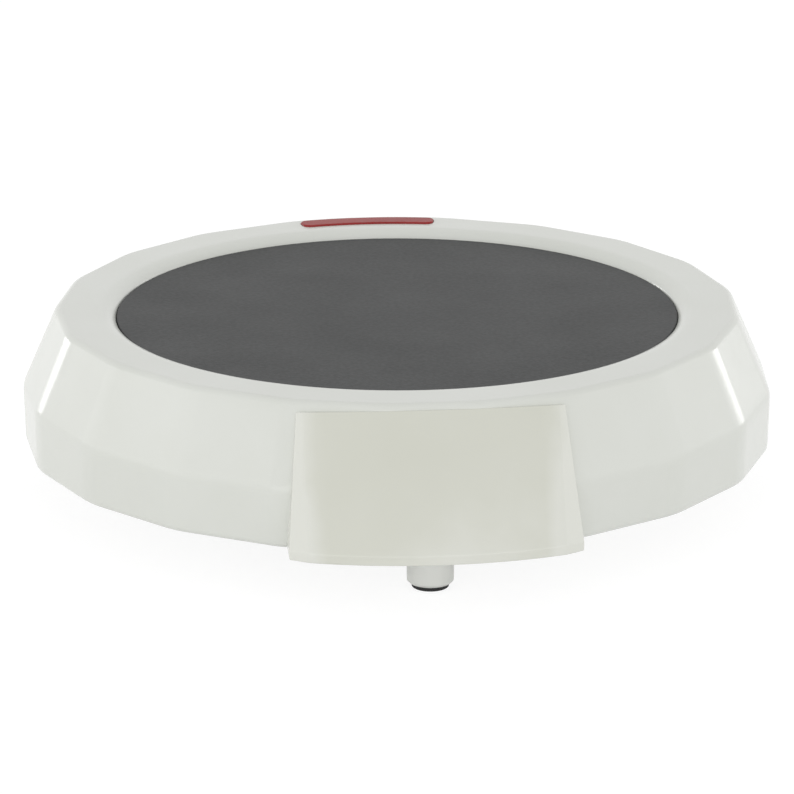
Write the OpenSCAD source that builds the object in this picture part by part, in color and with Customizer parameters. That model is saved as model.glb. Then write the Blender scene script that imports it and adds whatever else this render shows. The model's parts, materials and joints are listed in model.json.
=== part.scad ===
// Candle warmer plate: a heated disc in a faceted moulded housing that stands on three padded feet.
// Millimetres. Z is up from the surface it stands on, and the front panel faces -Y.
// A bearing is an angle about Z in degrees: 0 at the front, 90 at the right, 180 at the rear.

/* [Housing] */
// Radius of the round mouth in the deck
mouth_r = 52.5; // [48:0.5:58]
// Width of the deck from the mouth to its outer corners
deck_w = 11.1; // [10.4:0.1:14]
// Thickness of the deck
deck_t = 2.5; // [2:0.1:3.2]
// Rounding of the mouth's upper edge
mouth_round = 1.4; // [0.4:0.1:1.5]
// Chamfer along the deck's outer edge
deck_chamfer = 0.6; // [0.3:0.1:1]
// How far the sloping side spreads between the deck and the belt
slope_run = 6.4; // [5:0.1:9]
// Height of the sloping side
slope_h = 14.7; // [13:0.1:18]
// Height of the upright belt
belt_h = 10.8; // [10:0.1:14]
// Draft of the belt towards its lower edge
belt_draft = 0.3; // [0.1:0.05:0.6]
// Chamfer along the belt's lower edge
belt_chamfer = 0.5; // [0.2:0.1:0.8]
// Height of the belt's lower edge above the floor
floor_gap = 9.5; // [8.5:0.1:12]
// Wall of the slope and the belt
wall = 2.4; // [1.8:0.1:3]

/* [Facets] */
// Angle taken by the front panel
front_sector = 45; // [42:1:48]
// Angle taken by the rear, where the lens is
rear_sector = 27; // [25:1:30]
// Facets on each side
side_facets = 8; // [6:1:10]
// Facets behind the front panel
front_facets = 3; // [2:1:5]
// Facets at the rear
rear_facets = 3; // [1:2:5]

/* [Front panel] */
// How far the panel's lower edge stands out past the belt's corners
panel_reach = 6.3; // [4:0.1:9]
// Width across the panel's upper edge
panel_top_w = 47.5; // [44:0.5:49]
// Width across the panel's lower edge
panel_bottom_w = 52; // [49:0.5:53]
// Drop of the upper edge's middle below the deck
panel_top_drop = 1; // [0.8:0.1:1.4]
// How far the upper edge stands proud of the slope
panel_proud = 0.4; // [0.2:0.1:1]
// Tilt of the upper edge, which rises to its middle
panel_tilt = 12; // [8:1:16]
// Radius of the face across the panel
panel_face_r = 84; // [70:1:110]
// Width of the bevel along each side, at the lower edge
panel_bevel_w = 3.4; // [2:0.1:5]
// Angle of that bevel to the panel's middle
panel_bevel_angle = 28; // [24:1:40]
// Height of the lip under the face
panel_lip_h = 1.7; // [1.2:0.1:2.4]
// How far the lip is set back
panel_lip_set = 0.4; // [0.2:0.1:0.8]
// Wall of the panel
panel_wall = 2; // [1.6:0.1:2.4]
// Barb of each snap hook
panel_hook = 1; // [0.6:0.1:1.4]
// Length of each snap hook behind the housing's wall
panel_hook_l = 3; // [2.4:0.1:4]
// Height of each snap hook
panel_hook_h = 5; // [4:0.5:6]

/* [Heating plate] */
// Depth of the plate's face below the deck
plate_drop = 1.5; // [0.9:0.1:2]
// Gap between the plate and the mouth
plate_gap = 0.5; // [0.3:0.1:1.6]
// How far the plate's flange reaches under the deck
flange_w = 2.9; // [2.2:0.1:3.4]
// Thickness of the flange
flange_t = 1.5; // [1.2:0.1:2]
// Rounding of the plate's upper edge
plate_round = 0.5; // [0.2:0.1:0.6]
// Diameter of the stud under the plate
stud_d = 5; // [4:0.5:6]
// Thickness of the gasket on the flange
gasket_t = 0.7; // [0.4:0.1:1]

/* [Heater] */
// Margin between the heater's sheets and the plate's edge
sheet_margin = 6; // [4:0.1:8]
// Thickness of each mica sheet
mica_t = 0.5; // [0.3:0.1:0.8]
// Thickness of the element's track
track_t = 0.4; // [0.2:0.1:0.6]
// Width of the track
track_w = 2.4; // [1.6:0.1:2.8]
// Spacing of the track's rows
track_pitch = 4.5; // [4:0.1:4.8]
// Rows of track on each half, an odd number
track_rows = 7; // [5:2:7]
// Margin between the outer row and the edge of the sheets
track_margin = 4; // [3.8:0.1:6]
// Angle from the heater's axis to each end of the rows
track_end = 10; // [9:0.5:14]
// Thickness of the insulating pad
pad_t = 2.7; // [2:0.1:3.5]
// Diameter of the terminal pins
pin_d = 1.8; // [1.4:0.1:2]
// Diameter of the ceramic beads
bead_d = 6; // [5:0.1:6.2]
// How far the beads reach below the bracket
bead_drop = 1; // [0.5:0.1:1.5]

/* [Bracket] */
// Radius of the bracket's disc
bracket_r = 36; // [33:0.5:37]
// Thickness of the bracket's sheet
bracket_t = 1; // [0.8:0.1:1.4]
// Width of each arm
arm_w = 11; // [10:0.5:12]
// Height of the stiffening flanges on the arms
arm_flange_h = 2.6; // [1.5:0.1:3]
// Radius of the ring of lightening holes
bracket_hole_circle = 13; // [11:0.5:14]
// Diameter of the lightening holes
bracket_hole_d = 8; // [6:0.5:9]
// Bosses that carry the arms
arm_boss_d = 6; // [5:0.1:6.4]
// Thickness of the plate's washer
washer_t = 1; // [0.6:0.1:1.4]
// Diameter of the plate's washer
washer_d = 11; // [10:0.5:12]
// Width across the flats of the plate's nut
nut_w = 8; // [7.5:0.5:9]
// Height of the plate's nut
nut_h = 4; // [3:0.1:5]
// How far the stud's end shows past the nut
stud_end = 1.2; // [0.6:0.1:1.6]

/* [Base and feet] */
// Thickness of the base cover
base_t = 2; // [1.6:0.1:2.6]
// Height of the base cover's locating rim
rim_h = 2.5; // [1.5:0.1:3.5]
// Thickness of that rim
rim_t = 1.6; // [1.2:0.1:2]
// Diameter of the foot posts
post_d = 8.4; // [8:0.1:9.2]
// Chamfer round the foot of each post
post_chamfer = 0.5; // [0.3:0.1:0.6]
// How far the rubber pads stand out of the posts
pad_out = 0.9; // [0.6:0.1:2]
// Diameter of the rubber pads
foot_d = 6.7; // [6.4:0.1:6.8]
// Depth of the pads' heads in the posts
foot_head_in = 1.2; // [0.8:0.1:1.6]
// Diameter of the pads' stems
foot_stem_d = 5.6; // [5.2:0.1:5.8]
// Rounding of the pads' lower edge
foot_round = 0.4; // [0.2:0.1:0.6]
// Bosses that take the base screws
base_boss_d = 6.4; // [6:0.1:6.8]
// Floor of the posts above the screw heads
screw_seat = 1.5; // [1:0.1:2]
// Vent slots in the base
vent_count = 12; // [8:1:14]
// Length of each vent slot
vent_l = 14; // [8:0.5:16]
// Width of each vent slot
vent_w = 2.6; // [2:0.1:3]
// Radius of the middle of the vent slots
vent_circle = 24; // [20:0.5:25]

/* [Screws] */
// Diameter of the base and bracket screws
screw_d = 3; // [2.6:0.1:3.2]
// Diameter of their heads
screw_head_d = 5.5; // [5:0.1:5.6]
// Height of their heads
screw_head_h = 2.4; // [1.8:0.1:2.6]
// Length of the base screws
base_screw_l = 15; // [10:0.5:16]
// Length of the bracket screws
bracket_screw_l = 6; // [4:0.5:6.5]

/* [Indicator] */
// Width of the red lens across the deck
lens_w = 4; // [3:0.1:4.2]
// Half of the angle that the lens takes
lens_half = 12.6; // [10:0.1:13]
// Deck left between the lens and the outer edge
lens_edge = 2; // [1.8:0.1:2.2]
// How far the lens stands proud of the deck
lens_proud = 0.35; // [0.1:0.05:0.6]
// Thickness of the lens's hidden flange
lens_flange_t = 1.2; // [0.8:0.1:1.5]
// How far the flange reaches past the lens
lens_flange_w = 0.9; // [0.5:0.1:1]
// Depth of the lamp's holder
holder_h = 5.8; // [5.4:0.1:7]
// Wall of the lamp's holder
holder_wall = 0.9; // [0.7:0.1:1]
// Half of the angle that the holder takes
holder_half = 11; // [10:0.5:11.5]
// Bearing of the holder's ears from the rear
ear_bearing = 18; // [17:0.5:18.5]
// Radius of the holder's ears
ear_r = 3.2; // [2.8:0.1:3.2]
// Thickness of the holder's ears
ear_t = 1.5; // [1:0.1:2]
// Diameter of the lamp
lamp_d = 3.6; // [3:0.1:3.8]
// Length of the lamp's glass
lamp_l = 9; // [7:0.5:10]
// Diameter of the lamp's and the resistor's leads
lead_d = 0.7; // [0.5:0.1:0.9]
// Diameter of the resistor
resistor_d = 2.4; // [2:0.1:2.8]
// Length of the resistor
resistor_l = 6.5; // [5:0.5:7]
// Diameter of the holder's screws
lamp_screw_d = 2.2; // [1.8:0.1:2.4]
// Diameter of their heads
lamp_screw_head_d = 4.4; // [3.8:0.1:5]
// Height of their heads
lamp_screw_head_h = 1.5; // [1.2:0.1:2]
// Length of the holder's screws
lamp_screw_l = 5; // [3.5:0.5:6]

/* [Cord gland] */
// Radius of the bore that grips the cord in the nose
gland_bore_r = 2.6; // [2.2:0.1:2.7]
// How much wider the bore is behind the nose
gland_relief = 0.4; // [0.2:0.1:0.5]
// Radius of the hole in the belt
gland_hole_r = 3.8; // [3.6:0.1:4]
// Radius of the flange outside the belt
gland_flange_r = 4.6; // [4.4:0.1:4.8]
// Thickness of that flange
gland_flange_t = 1.6; // [1.2:0.1:2]
// How far the nose stands out from the belt
gland_nose = 5.6; // [4.6:0.1:6.4]
// Radius of the snap barb inside the belt
gland_barb_r = 4.3; // [4.2:0.1:4.5]
// Length of that barb
gland_barb_l = 2.6; // [2:0.1:3]

/* [Wiring] */
// Width of the terminal block
block_w = 20; // [18:0.5:22]
// Depth of the terminal block
block_d = 14; // [12:0.5:16]
// Height of the terminal block
block_h = 9; // [8:0.5:10]
// Distance of the terminal block behind the axis
block_y = 44; // [42:0.5:46]
// Spacing of the block's two poles
pole_pitch = 11; // [10:0.5:11.5]
// Diameter of the block's bores
pole_bore_d = 4.2; // [4:0.1:4.6]
// Diameter of the block's screws
pole_screw_d = 3.2; // [2.8:0.1:3.6]
// Diameter of the insulated leads
wire_d = 1.9; // [1.6:0.1:1.9]
// Diameter of the crimp sleeves
crimp_d = 3.2; // [3:0.1:3.6]
// Length of the crimp sleeves
crimp_l = 7; // [6:0.5:7.5]
// Distance of the thermal fuse from the axis
fuse_x = 22; // [20:0.5:24]
// Diameter of the fuse
fuse_d = 4; // [3.4:0.1:4.2]
// Length of the fuse's body
fuse_l = 11; // [9:0.5:12]
// Length of each lead of the fuse
fuse_lead = 12; // [11:0.5:13]
// Length of the sleeve on the fuse
sleeve_l = 26; // [24:0.5:27]
// Wall of that sleeve
sleeve_wall = 0.45; // [0.3:0.05:0.6]
// Thickness of the fuse's strap
strap_t = 0.6; // [0.4:0.1:0.8]
// Width of the strap
strap_w = 8; // [6:0.5:10]
// Length of each foot of the strap
strap_foot = 4; // [3:0.5:5]

/* [Fits] */
// Gap round the front panel
panel_gap = 0.15; // [0.1:0.05:0.3]
// Gap round the base cover and its tongue
base_gap = 0.3; // [0.2:0.05:0.5]
// Gap round close-fitting pieces
fit = 0.1; // [0.05:0.05:0.15]
// Gap round screws in their through holes
screw_gap = 0.2; // [0.1:0.05:0.3]
// Gap of pieces that only just clear each other
clear = 0.2; // [0.1:0.05:0.3]
// Gap between a screw and the boss that it bites
bite = 0.03; // [0.02:0.01:0.05]

/* [Hidden] */

$fn = 96;
// Overshoot of a cut past the face that it opens, and overlap of shapes that are joined
cut = 1;

// Heights of the housing
belt_bottom_z = floor_gap;
belt_top_z = belt_bottom_z + belt_h;
deck_z = belt_top_z + slope_h;
deck_under_z = deck_z - deck_t;

// Radii of the housing's corners
deck_r = mouth_r + deck_w;
belt_r = deck_r + slope_run;
slope_angle = atan(slope_run / slope_h);
function slope_r(z) = deck_r + (deck_z - z) * tan(slope_angle);
function slope_inner_r(z) = slope_r(z) - wall / cos(slope_angle);

// Facets as [bearing of the middle, half angle], in order round the housing
function fan(middle, sector, count) =
    [for (i = [0:count - 1]) [middle + sector * ((i + 0.5) / count - 0.5), sector / count / 2]];
side_sector = (360 - front_sector - rear_sector) / 2;
side_middle = (front_sector + side_sector) / 2;
facets = concat(
    fan(0, front_sector, front_facets),
    fan(side_middle, side_sector, side_facets),
    fan(180, rear_sector, rear_facets),
    fan(360 - side_middle, side_sector, side_facets)
);
front_half = front_sector / front_facets / 2;
side_half = side_sector / side_facets / 2;
rear_half = rear_sector / rear_facets / 2;

// Profiles of the housing's corners as [radius, height]
outer_profile = [
    [belt_r - belt_draft - belt_chamfer, belt_bottom_z],
    [belt_r - belt_draft * (1 - belt_chamfer / belt_h), belt_bottom_z + belt_chamfer],
    [belt_r, belt_top_z],
    [slope_r(deck_z - deck_chamfer), deck_z - deck_chamfer],
    [deck_r - deck_chamfer, deck_z]
];
inner_profile = [
    [belt_r - belt_draft - wall, belt_bottom_z - cut],
    [belt_r - wall, belt_top_z - wall * tan(slope_angle / 2)],
    [slope_inner_r(deck_under_z), deck_under_z]
];

// Heights of the plate and the heater, from the deck down
plate_z = deck_z - plate_drop;
flange_top_z = deck_under_z - gasket_t;
plate_under_z = flange_top_z - flange_t;
upper_mica_z = plate_under_z - mica_t;
track_z = upper_mica_z - track_t;
lower_mica_z = track_z - mica_t;
pad_z = lower_mica_z - pad_t;
bracket_z = pad_z - bracket_t;
washer_z = bracket_z - washer_t;
nut_z = washer_z - nut_h;
bead_z = bracket_z - bead_drop;

// Radii of the plate and the heater
plate_r = mouth_r - plate_gap;
flange_r = mouth_r + flange_w;
sheet_r = plate_r - sheet_margin;
stud_r = stud_d / 2;
track_out_r = sheet_r - track_margin;
track_in_r = track_out_r - (track_rows - 1) * track_pitch;

// The base, the feet and their bosses, which stand just outside the plate's flange
base_z = belt_bottom_z + base_t;
base_corner_r = belt_r - belt_draft - wall - base_gap;
boss_clear = 0.9;
foot_circle = flange_r + boss_clear + base_boss_d / 2;
foot_bearings = [0, 120, 240];
head_seat_z = belt_bottom_z - screw_seat;
stem_top_z = head_seat_z - screw_head_h - clear;
foot_head_z = pad_out + foot_head_in;

// The bracket's arms and their bosses
arm_bearings = [30, 150, 270];
arm_circle = flange_r + arm_boss_d / 2 + fit;

// The front panel, whose face leans back from its lip to its upper edge
panel_top_z = deck_z - panel_top_drop;
panel_top_y = slope_r(panel_top_z) * cos(front_half) + panel_proud;
panel_foot_y = belt_r + panel_reach;
panel_lip_z = belt_bottom_z + panel_lip_h;
panel_lean = atan((panel_foot_y - panel_top_y) / (panel_top_z - panel_lip_z));
panel_h = panel_top_z - belt_bottom_z;
panel_hook_z = belt_top_z - panel_hook_h;
function panel_half_w(z) =
    (panel_top_w + (panel_bottom_w - panel_top_w) * (panel_top_z - z) / panel_h) / 2;
// Depth of the housing's inner wall beside the panel, and of the hooks' ends behind it
panel_wall_y = sqrt(pow((belt_r - wall) * cos(side_half), 2) - pow(panel_half_w(panel_hook_z), 2));
panel_hook_y = panel_wall_y - panel_gap;
panel_back_y = panel_hook_y - panel_hook_l;

// The lens and the lamp under it
lens_out_r = (deck_r - deck_chamfer) * cos(rear_half) - lens_edge + deck_chamfer;
lens_in_r = lens_out_r - lens_w;
lens_flange_z = deck_under_z - lens_flange_t;
holder_z = lens_flange_z - holder_h;
holder_out_r = slope_inner_r(lens_flange_z) * cos(rear_half) - clear;
holder_in_r = lens_in_r - lens_flange_w;
holder_mid_r = (holder_in_r + holder_out_r) / 2;
lamp_z = (holder_z + holder_wall + lens_flange_z) / 2;
lead_end = 2;
lamp_lead_x = holder_out_r * sin(holder_half) + lead_end;
lamp_wire_x = lamp_lead_x - lead_d;
resistor_top_z = holder_z + lead_end / 2;
resistor_foot_z = resistor_top_z - resistor_l - 2 * lead_end;

// The cord gland, just above the base
gland_z = base_z + gland_barb_r + clear;
gland_frac = (belt_top_z - gland_z) / belt_h;
gland_face_y = (belt_r - belt_draft * gland_frac) * cos(rear_half);
gland_wall_y = gland_face_y - wall;

// The wiring
pole_x = pole_pitch / 2;
pole_z = base_z + block_h / 2;
block_front_y = block_y - block_d / 2;
block_top_z = base_z + block_h;
wire_x = wire_d / 2 + fit;
sleeve_r = fuse_d / 2 + fit + sleeve_wall;
fuse_z = bracket_z - sleeve_r - bite;
fuse_lead_y = fuse_l / 2 + fuse_lead;
fuse_crimp_y = fuse_lead_y - crimp_l / 2;
terminal_x = track_out_r * cos(track_end);
terminal_y = track_out_r * sin(track_end);
pin_end_z = bead_z - crimp_l / 2 + fit;
wire_top_z = bead_z - crimp_l / 2 - fit;
wire_in = 5;

// Routes of the leads: from the block's poles to the fuse, the element and the lamp
line_route = [
    [wire_x - pole_x, block_front_y + wire_in, pole_z],
    [wire_x - pole_x, block_front_y - 1, pole_z],
    [-2, block_front_y - 6, pole_z + 0.6],
    [6, block_front_y - 8, pole_z + 2.6],
    [14, block_front_y - 6, pole_z + 4.6],
    [fuse_x - 2, fuse_crimp_y + crimp_l + 10, fuse_z - 0.4],
    [fuse_x, fuse_crimp_y + crimp_l + 6, fuse_z],
    [fuse_x, fuse_crimp_y + crimp_l + 1, fuse_z],
    [fuse_x, fuse_lead_y + fit, fuse_z]
];
fuse_route = [
    [fuse_x, -fuse_lead_y - fit, fuse_z],
    [fuse_x, -fuse_crimp_y - crimp_l - 1, fuse_z],
    [fuse_x + 1, -fuse_crimp_y - crimp_l - 6, fuse_z - 0.5],
    [fuse_x + 7, -fuse_crimp_y - crimp_l - 10, fuse_z - 3],
    [terminal_x - 5, -terminal_y - 18, base_z + 4],
    [terminal_x - 1, -terminal_y - 8, base_z + 2.2],
    [terminal_x, -terminal_y - 2, base_z + 3],
    [terminal_x, -terminal_y, bead_z - crimp_l - 0.5],
    [terminal_x, -terminal_y, wire_top_z]
];
neutral_route = [
    [terminal_x, terminal_y, wire_top_z],
    [terminal_x, terminal_y, bead_z - crimp_l - 0.5],
    [terminal_x - 1.5, terminal_y + 1.5, base_z + 3],
    [terminal_x - 7, terminal_y + 7, base_z + 2],
    [terminal_x - 18, terminal_y + 17, base_z + 2.2],
    [pole_x + 6, block_front_y - 7, base_z + 3.4],
    [pole_x + 1, block_front_y - 5, pole_z - 0.4],
    [pole_x - wire_x, block_front_y - 1, pole_z],
    [pole_x - wire_x, block_front_y + wire_in, pole_z]
];
lamp_line_route = [
    [-lamp_lead_x, holder_mid_r, resistor_foot_z + fit],
    [-lamp_lead_x, holder_mid_r, resistor_foot_z - 1],
    [-lamp_lead_x, holder_mid_r - 3, base_z + 2],
    [-lamp_lead_x - 1, holder_mid_r - 10, base_z + 2],
    [-lamp_lead_x - 1, block_front_y + 2, base_z + 2.4],
    [-pole_x - 5, block_front_y - 4, pole_z - 0.6],
    [-pole_x - wire_x, block_front_y - 3.5, pole_z],
    [-pole_x - wire_x, block_front_y, pole_z],
    [-pole_x - wire_x, block_front_y + wire_in, pole_z]
];
lamp_neutral_route = [
    [lamp_wire_x, holder_mid_r, lamp_z],
    [lamp_lead_x + 0.6, holder_mid_r, lamp_z - 0.4],
    [lamp_lead_x + 1.2, holder_mid_r + 0.2, lamp_z - 3],
    [lamp_lead_x + 1.2, holder_mid_r, base_z + 8],
    [lamp_lead_x + 1, holder_mid_r - 4, base_z + 3],
    [lamp_lead_x + 1, block_front_y + 2, base_z + 2.4],
    [pole_x + 5, block_front_y - 4, pole_z - 0.6],
    [pole_x + wire_x, block_front_y - 3.5, pole_z],
    [pole_x + wire_x, block_front_y, pole_z],
    [pole_x + wire_x, block_front_y + wire_in, pole_z]
];

// Colours
white_plastic = "#dfe0d9";
panel_white = "#d6d7cd";
plate_grey = "#5b5c5b";
lens_red = "#96504e";
rubber_black = "#1c1c1c";
steel = "#b4b8ba";
mica_brown = "#b9a88a";
ceramic = "#ece7da";

// Places its children at a bearing and a distance from the axis
module at_bearing(bearing, distance, z = 0)
    rotate([0, 0, bearing]) translate([0, -distance, z]) children();

// A cylinder that stands on a height
module disc(radius, z0, z1)
    translate([0, 0, z0]) cylinder(h = z1 - z0, r = radius);

// A disc with a round hole
module ring(outer_r, inner_r, z0, z1) {
    difference() {
        disc(outer_r, z0, z1);
        disc(inner_r, z0 - cut, z1 + cut);
    }
}

// A block bent round the axis, centred on the rear
module rear_arc(inner_r, outer_r, half, z0, z1)
    rotate([0, 0, 90 - half])
        rotate_extrude(angle = 2 * half)
            translate([inner_r, z0])
                square([outer_r - inner_r, z1 - z0]);

// A cylinder that lies along Y
module rod_y(radius, y0, y1, x = 0, z = 0)
    translate([x, y0, z]) rotate([-90, 0, 0]) cylinder(h = y1 - y0, r = radius, $fn = 48);

// A cylinder that lies along X
module rod_x(radius, x0, x1, y = 0, z = 0)
    translate([x0, y, z]) rotate([0, 90, 0]) cylinder(h = x1 - x0, r = radius, $fn = 48);

// A solid with flat facets round the axis, whose corners follow a profile of [radius, height]
module faceted(profile) {
    reach = belt_r + wall;
    low = profile[0][1];
    high = profile[len(profile) - 1][1];
    intersection_for (f = facets)
        rotate([0, 0, f[0]])
            rotate([90, 0, -90])
                linear_extrude(2 * reach, center = true)
                    polygon(concat(
                        [[-reach, low]],
                        [for (p = profile) [p[0] * cos(f[1]), p[1]]],
                        [[-reach, high]]
                    ));
}

// Curves and tubes for the leads
function unit(v) = v / norm(v);
function at(points, i) = points[max(0, min(len(points) - 1, i))];
function blend(a, b, c, d, t) =
    0.5 * (2 * b + (c - a) * t + (2 * a - 5 * b + 4 * c - d) * t * t + (3 * b - a - 3 * c + d) * t * t * t);
function curve(points, steps) = concat(
    [for (i = [0:len(points) - 2], k = [0:steps - 1])
        blend(at(points, i - 1), points[i], points[i + 1], at(points, i + 2), k / steps)],
    [points[len(points) - 1]]
);
function headings(path) =
    [for (i = [0:len(path) - 1]) unit(at(path, i + 1) - at(path, i - 1))];
function square_to(v, along) = unit(v - (v * along) * along);
function sides(along, i, last) =
    i == len(along) ? [] :
    let (side = square_to(last, along[i])) concat([side], sides(along, i + 1, side));

// A round tube along a smooth curve through the points
module lead(points, diameter, steps = 3, around = 8) {
    path = curve(points, steps);
    along = headings(path);
    side = sides(along, 0, [0.3, 0.5, 0.81]);
    rings = len(path);
    corners = [for (i = [0:rings - 1], k = [0:around - 1])
        path[i] + diameter / 2 * (cos(360 * k / around) * side[i]
            + sin(360 * k / around) * cross(along[i], side[i]))];
    walls = [for (i = [0:rings - 2], k = [0:around - 1])
        let (a = i * around + k, b = i * around + (k + 1) % around)
        each [[a, a + around, b], [b, a + around, b + around]]];
    start_cap = [for (k = [0:around - 1]) k];
    end_cap = [for (k = [around - 1:-1:0]) (rings - 1) * around + k];
    polyhedron(corners, concat(walls, [start_cap, end_cap]));
}

// The front panel's sides and upper edge, as a tilted block drawn in by an inset
module panel_sides(inset) {
    block_l = panel_foot_y - panel_back_y + 12 * cut;
    top_half = panel_top_w / 2 - inset;
    foot_half = top_half + (panel_bottom_w - panel_top_w);
    translate([0, -panel_top_y, panel_top_z])
        rotate([-panel_tilt, 0, 0])
            rotate([90, 0, 0])
                linear_extrude(2 * block_l, center = true)
                    polygon([
                        [-foot_half, -2 * panel_h],
                        [foot_half, -2 * panel_h],
                        [top_half, -min(inset, 0)],
                        [-top_half, -min(inset, 0)]
                    ]);
}

// The leaning face above the lip, bowed across the panel and bevelled along its sides
module panel_face(inset) {
    bevel_start = panel_bottom_w / 2 - panel_bevel_w;
    bevel_depth = panel_face_r - sqrt(pow(panel_face_r, 2) - pow(bevel_start, 2));
    bevel_inset = inset / cos(panel_bevel_angle);
    rise = tan(panel_bevel_angle);
    spread = panel_wall + panel_reach + wall;
    back = panel_foot_y - panel_back_y + 6 * cut;
    intersection() {
        translate([0, -panel_foot_y, panel_lip_z])
            rotate([-panel_lean, 0, 0])
                linear_extrude(4 * panel_h, center = true)
                    intersection() {
                        translate([0, panel_face_r]) circle(panel_face_r - inset);
                        polygon([
                            [0, bevel_depth + bevel_inset - bevel_start * rise],
                            [bevel_start + spread, bevel_depth + bevel_inset + spread * rise],
                            [bevel_start + spread, 2 * back],
                            [-bevel_start - spread, 2 * back],
                            [-bevel_start - spread, bevel_depth + bevel_inset + spread * rise]
                        ]);
                    }
        translate([-panel_bottom_w, -2 * panel_foot_y, panel_lip_z])
            cube([2 * panel_bottom_w, 2 * panel_foot_y, panel_h]);
    }
}

// The upright lip under the face
module panel_lip(inset, low, high) {
    lip_r = panel_face_r * cos(panel_lean);
    lip_inset = inset > 0 ? inset + panel_lip_set : inset;
    translate([0, lip_r - panel_foot_y, low])
        cylinder(h = high - low, r = lip_r - panel_lip_set - lip_inset, $fn = 180);
}

// Everything of the panel in front of a depth, drawn in by an inset
module panel_block(inset, back_y, low) {
    intersection() {
        panel_sides(inset);
        union() {
            panel_face(inset);
            panel_lip(inset, low, panel_lip_z + cut / 4);
        }
        translate([-panel_bottom_w, -2 * panel_foot_y, low])
            cube([2 * panel_bottom_w, 2 * panel_foot_y - back_y, 2 * panel_h]);
    }
}

// The white top shell: deck, slope and belt, with the bosses under its deck
module upper_housing() {
    color(white_plastic)
    difference() {
        union() {
            difference() {
                faceted(outer_profile);
                faceted(inner_profile);
                rotate_extrude() {
                    translate([0, deck_under_z - cut]) square([mouth_r, deck_t + 2 * cut]);
                    difference() {
                        translate([mouth_r - cut, deck_z - mouth_round])
                            square([mouth_round + cut, mouth_round + cut]);
                        translate([mouth_r + mouth_round, deck_z - mouth_round]) circle(mouth_round);
                    }
                }
                intersection() {
                    panel_sides(-panel_gap);
                    translate([-panel_bottom_w, -2 * panel_foot_y, 0])
                        cube([2 * panel_bottom_w, 2 * panel_foot_y - panel_back_y + wall, 2 * deck_z]);
                }
                rear_arc(lens_in_r - fit, lens_out_r + fit, lens_half + atan(fit / lens_in_r),
                    deck_under_z - cut, deck_z + cut);
                rod_y(gland_hole_r, gland_wall_y - 2 * cut, gland_face_y + 2 * cut, z = gland_z);
            }
            for (b = foot_bearings)
                at_bearing(b, foot_circle) disc(base_boss_d / 2, base_z, deck_under_z + deck_t / 2);
            for (b = arm_bearings)
                at_bearing(b, arm_circle) disc(arm_boss_d / 2, pad_z, deck_under_z + deck_t / 2);
            for (b = [180 - ear_bearing, 180 + ear_bearing])
                at_bearing(b, holder_mid_r) disc(ear_r - clear, holder_z + ear_t, deck_under_z + deck_t / 2);
        }
        for (b = foot_bearings)
            at_bearing(b, foot_circle)
                disc(screw_d / 2 + bite, base_z - cut, head_seat_z + base_screw_l + cut);
        for (b = arm_bearings)
            at_bearing(b, arm_circle) disc(screw_d / 2 + bite, pad_z - cut, bracket_z + bracket_screw_l + clear);
        for (b = [180 - ear_bearing, 180 + ear_bearing])
            at_bearing(b, holder_mid_r)
                disc(lamp_screw_d / 2 + bite, holder_z, holder_z + lamp_screw_l + clear);
    }
}

// The wedge-shaped panel that fills the notch in the front, held by a hook on each side
module front_panel() {
    color(panel_white)
    difference() {
        union() {
            difference() {
                panel_block(0, panel_back_y, belt_bottom_z);
                panel_block(panel_wall, panel_back_y - 5 * cut, belt_bottom_z - cut);
            }
            for (side = [0, 1])
                mirror([side, 0, 0])
                    translate([panel_half_w(panel_hook_z) - panel_wall / 2, 0, panel_hook_z])
                        linear_extrude(panel_hook_h)
                            polygon([
                                [0, -panel_hook_y],
                                [panel_wall / 2 + panel_hook, -panel_hook_y],
                                [panel_wall / 2, -panel_back_y],
                                [0, -panel_back_y]
                            ]);
        }
        at_bearing(0, foot_circle) disc(base_boss_d / 2 + base_gap, base_z - cut, deck_z);
    }
}

// Outline of the base cover inside the housing's wall, drawn in by an inset
module base_outline(inset)
    polygon([for (f = facets) (base_corner_r - inset) * [sin(f[0] + f[1]), -cos(f[0] + f[1])]]);

// A slot with round ends that points away from the axis
module vent_slot() {
    straight = (vent_l - vent_w) / 2;
    translate([0, 0, belt_bottom_z - cut])
        linear_extrude(base_t + 2 * cut) {
            square([vent_w, 2 * straight], center = true);
            for (end = [-1, 1])
                translate([0, end * straight]) circle(vent_w / 2, $fn = 32);
        }
}

// A foot post, narrowed at its end
module foot_post() {
    disc(post_d / 2, pad_out + post_chamfer, belt_bottom_z + base_t / 2);
    translate([0, 0, pad_out])
        cylinder(h = post_chamfer, r1 = post_d / 2 - post_chamfer, r2 = post_d / 2);
}

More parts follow.
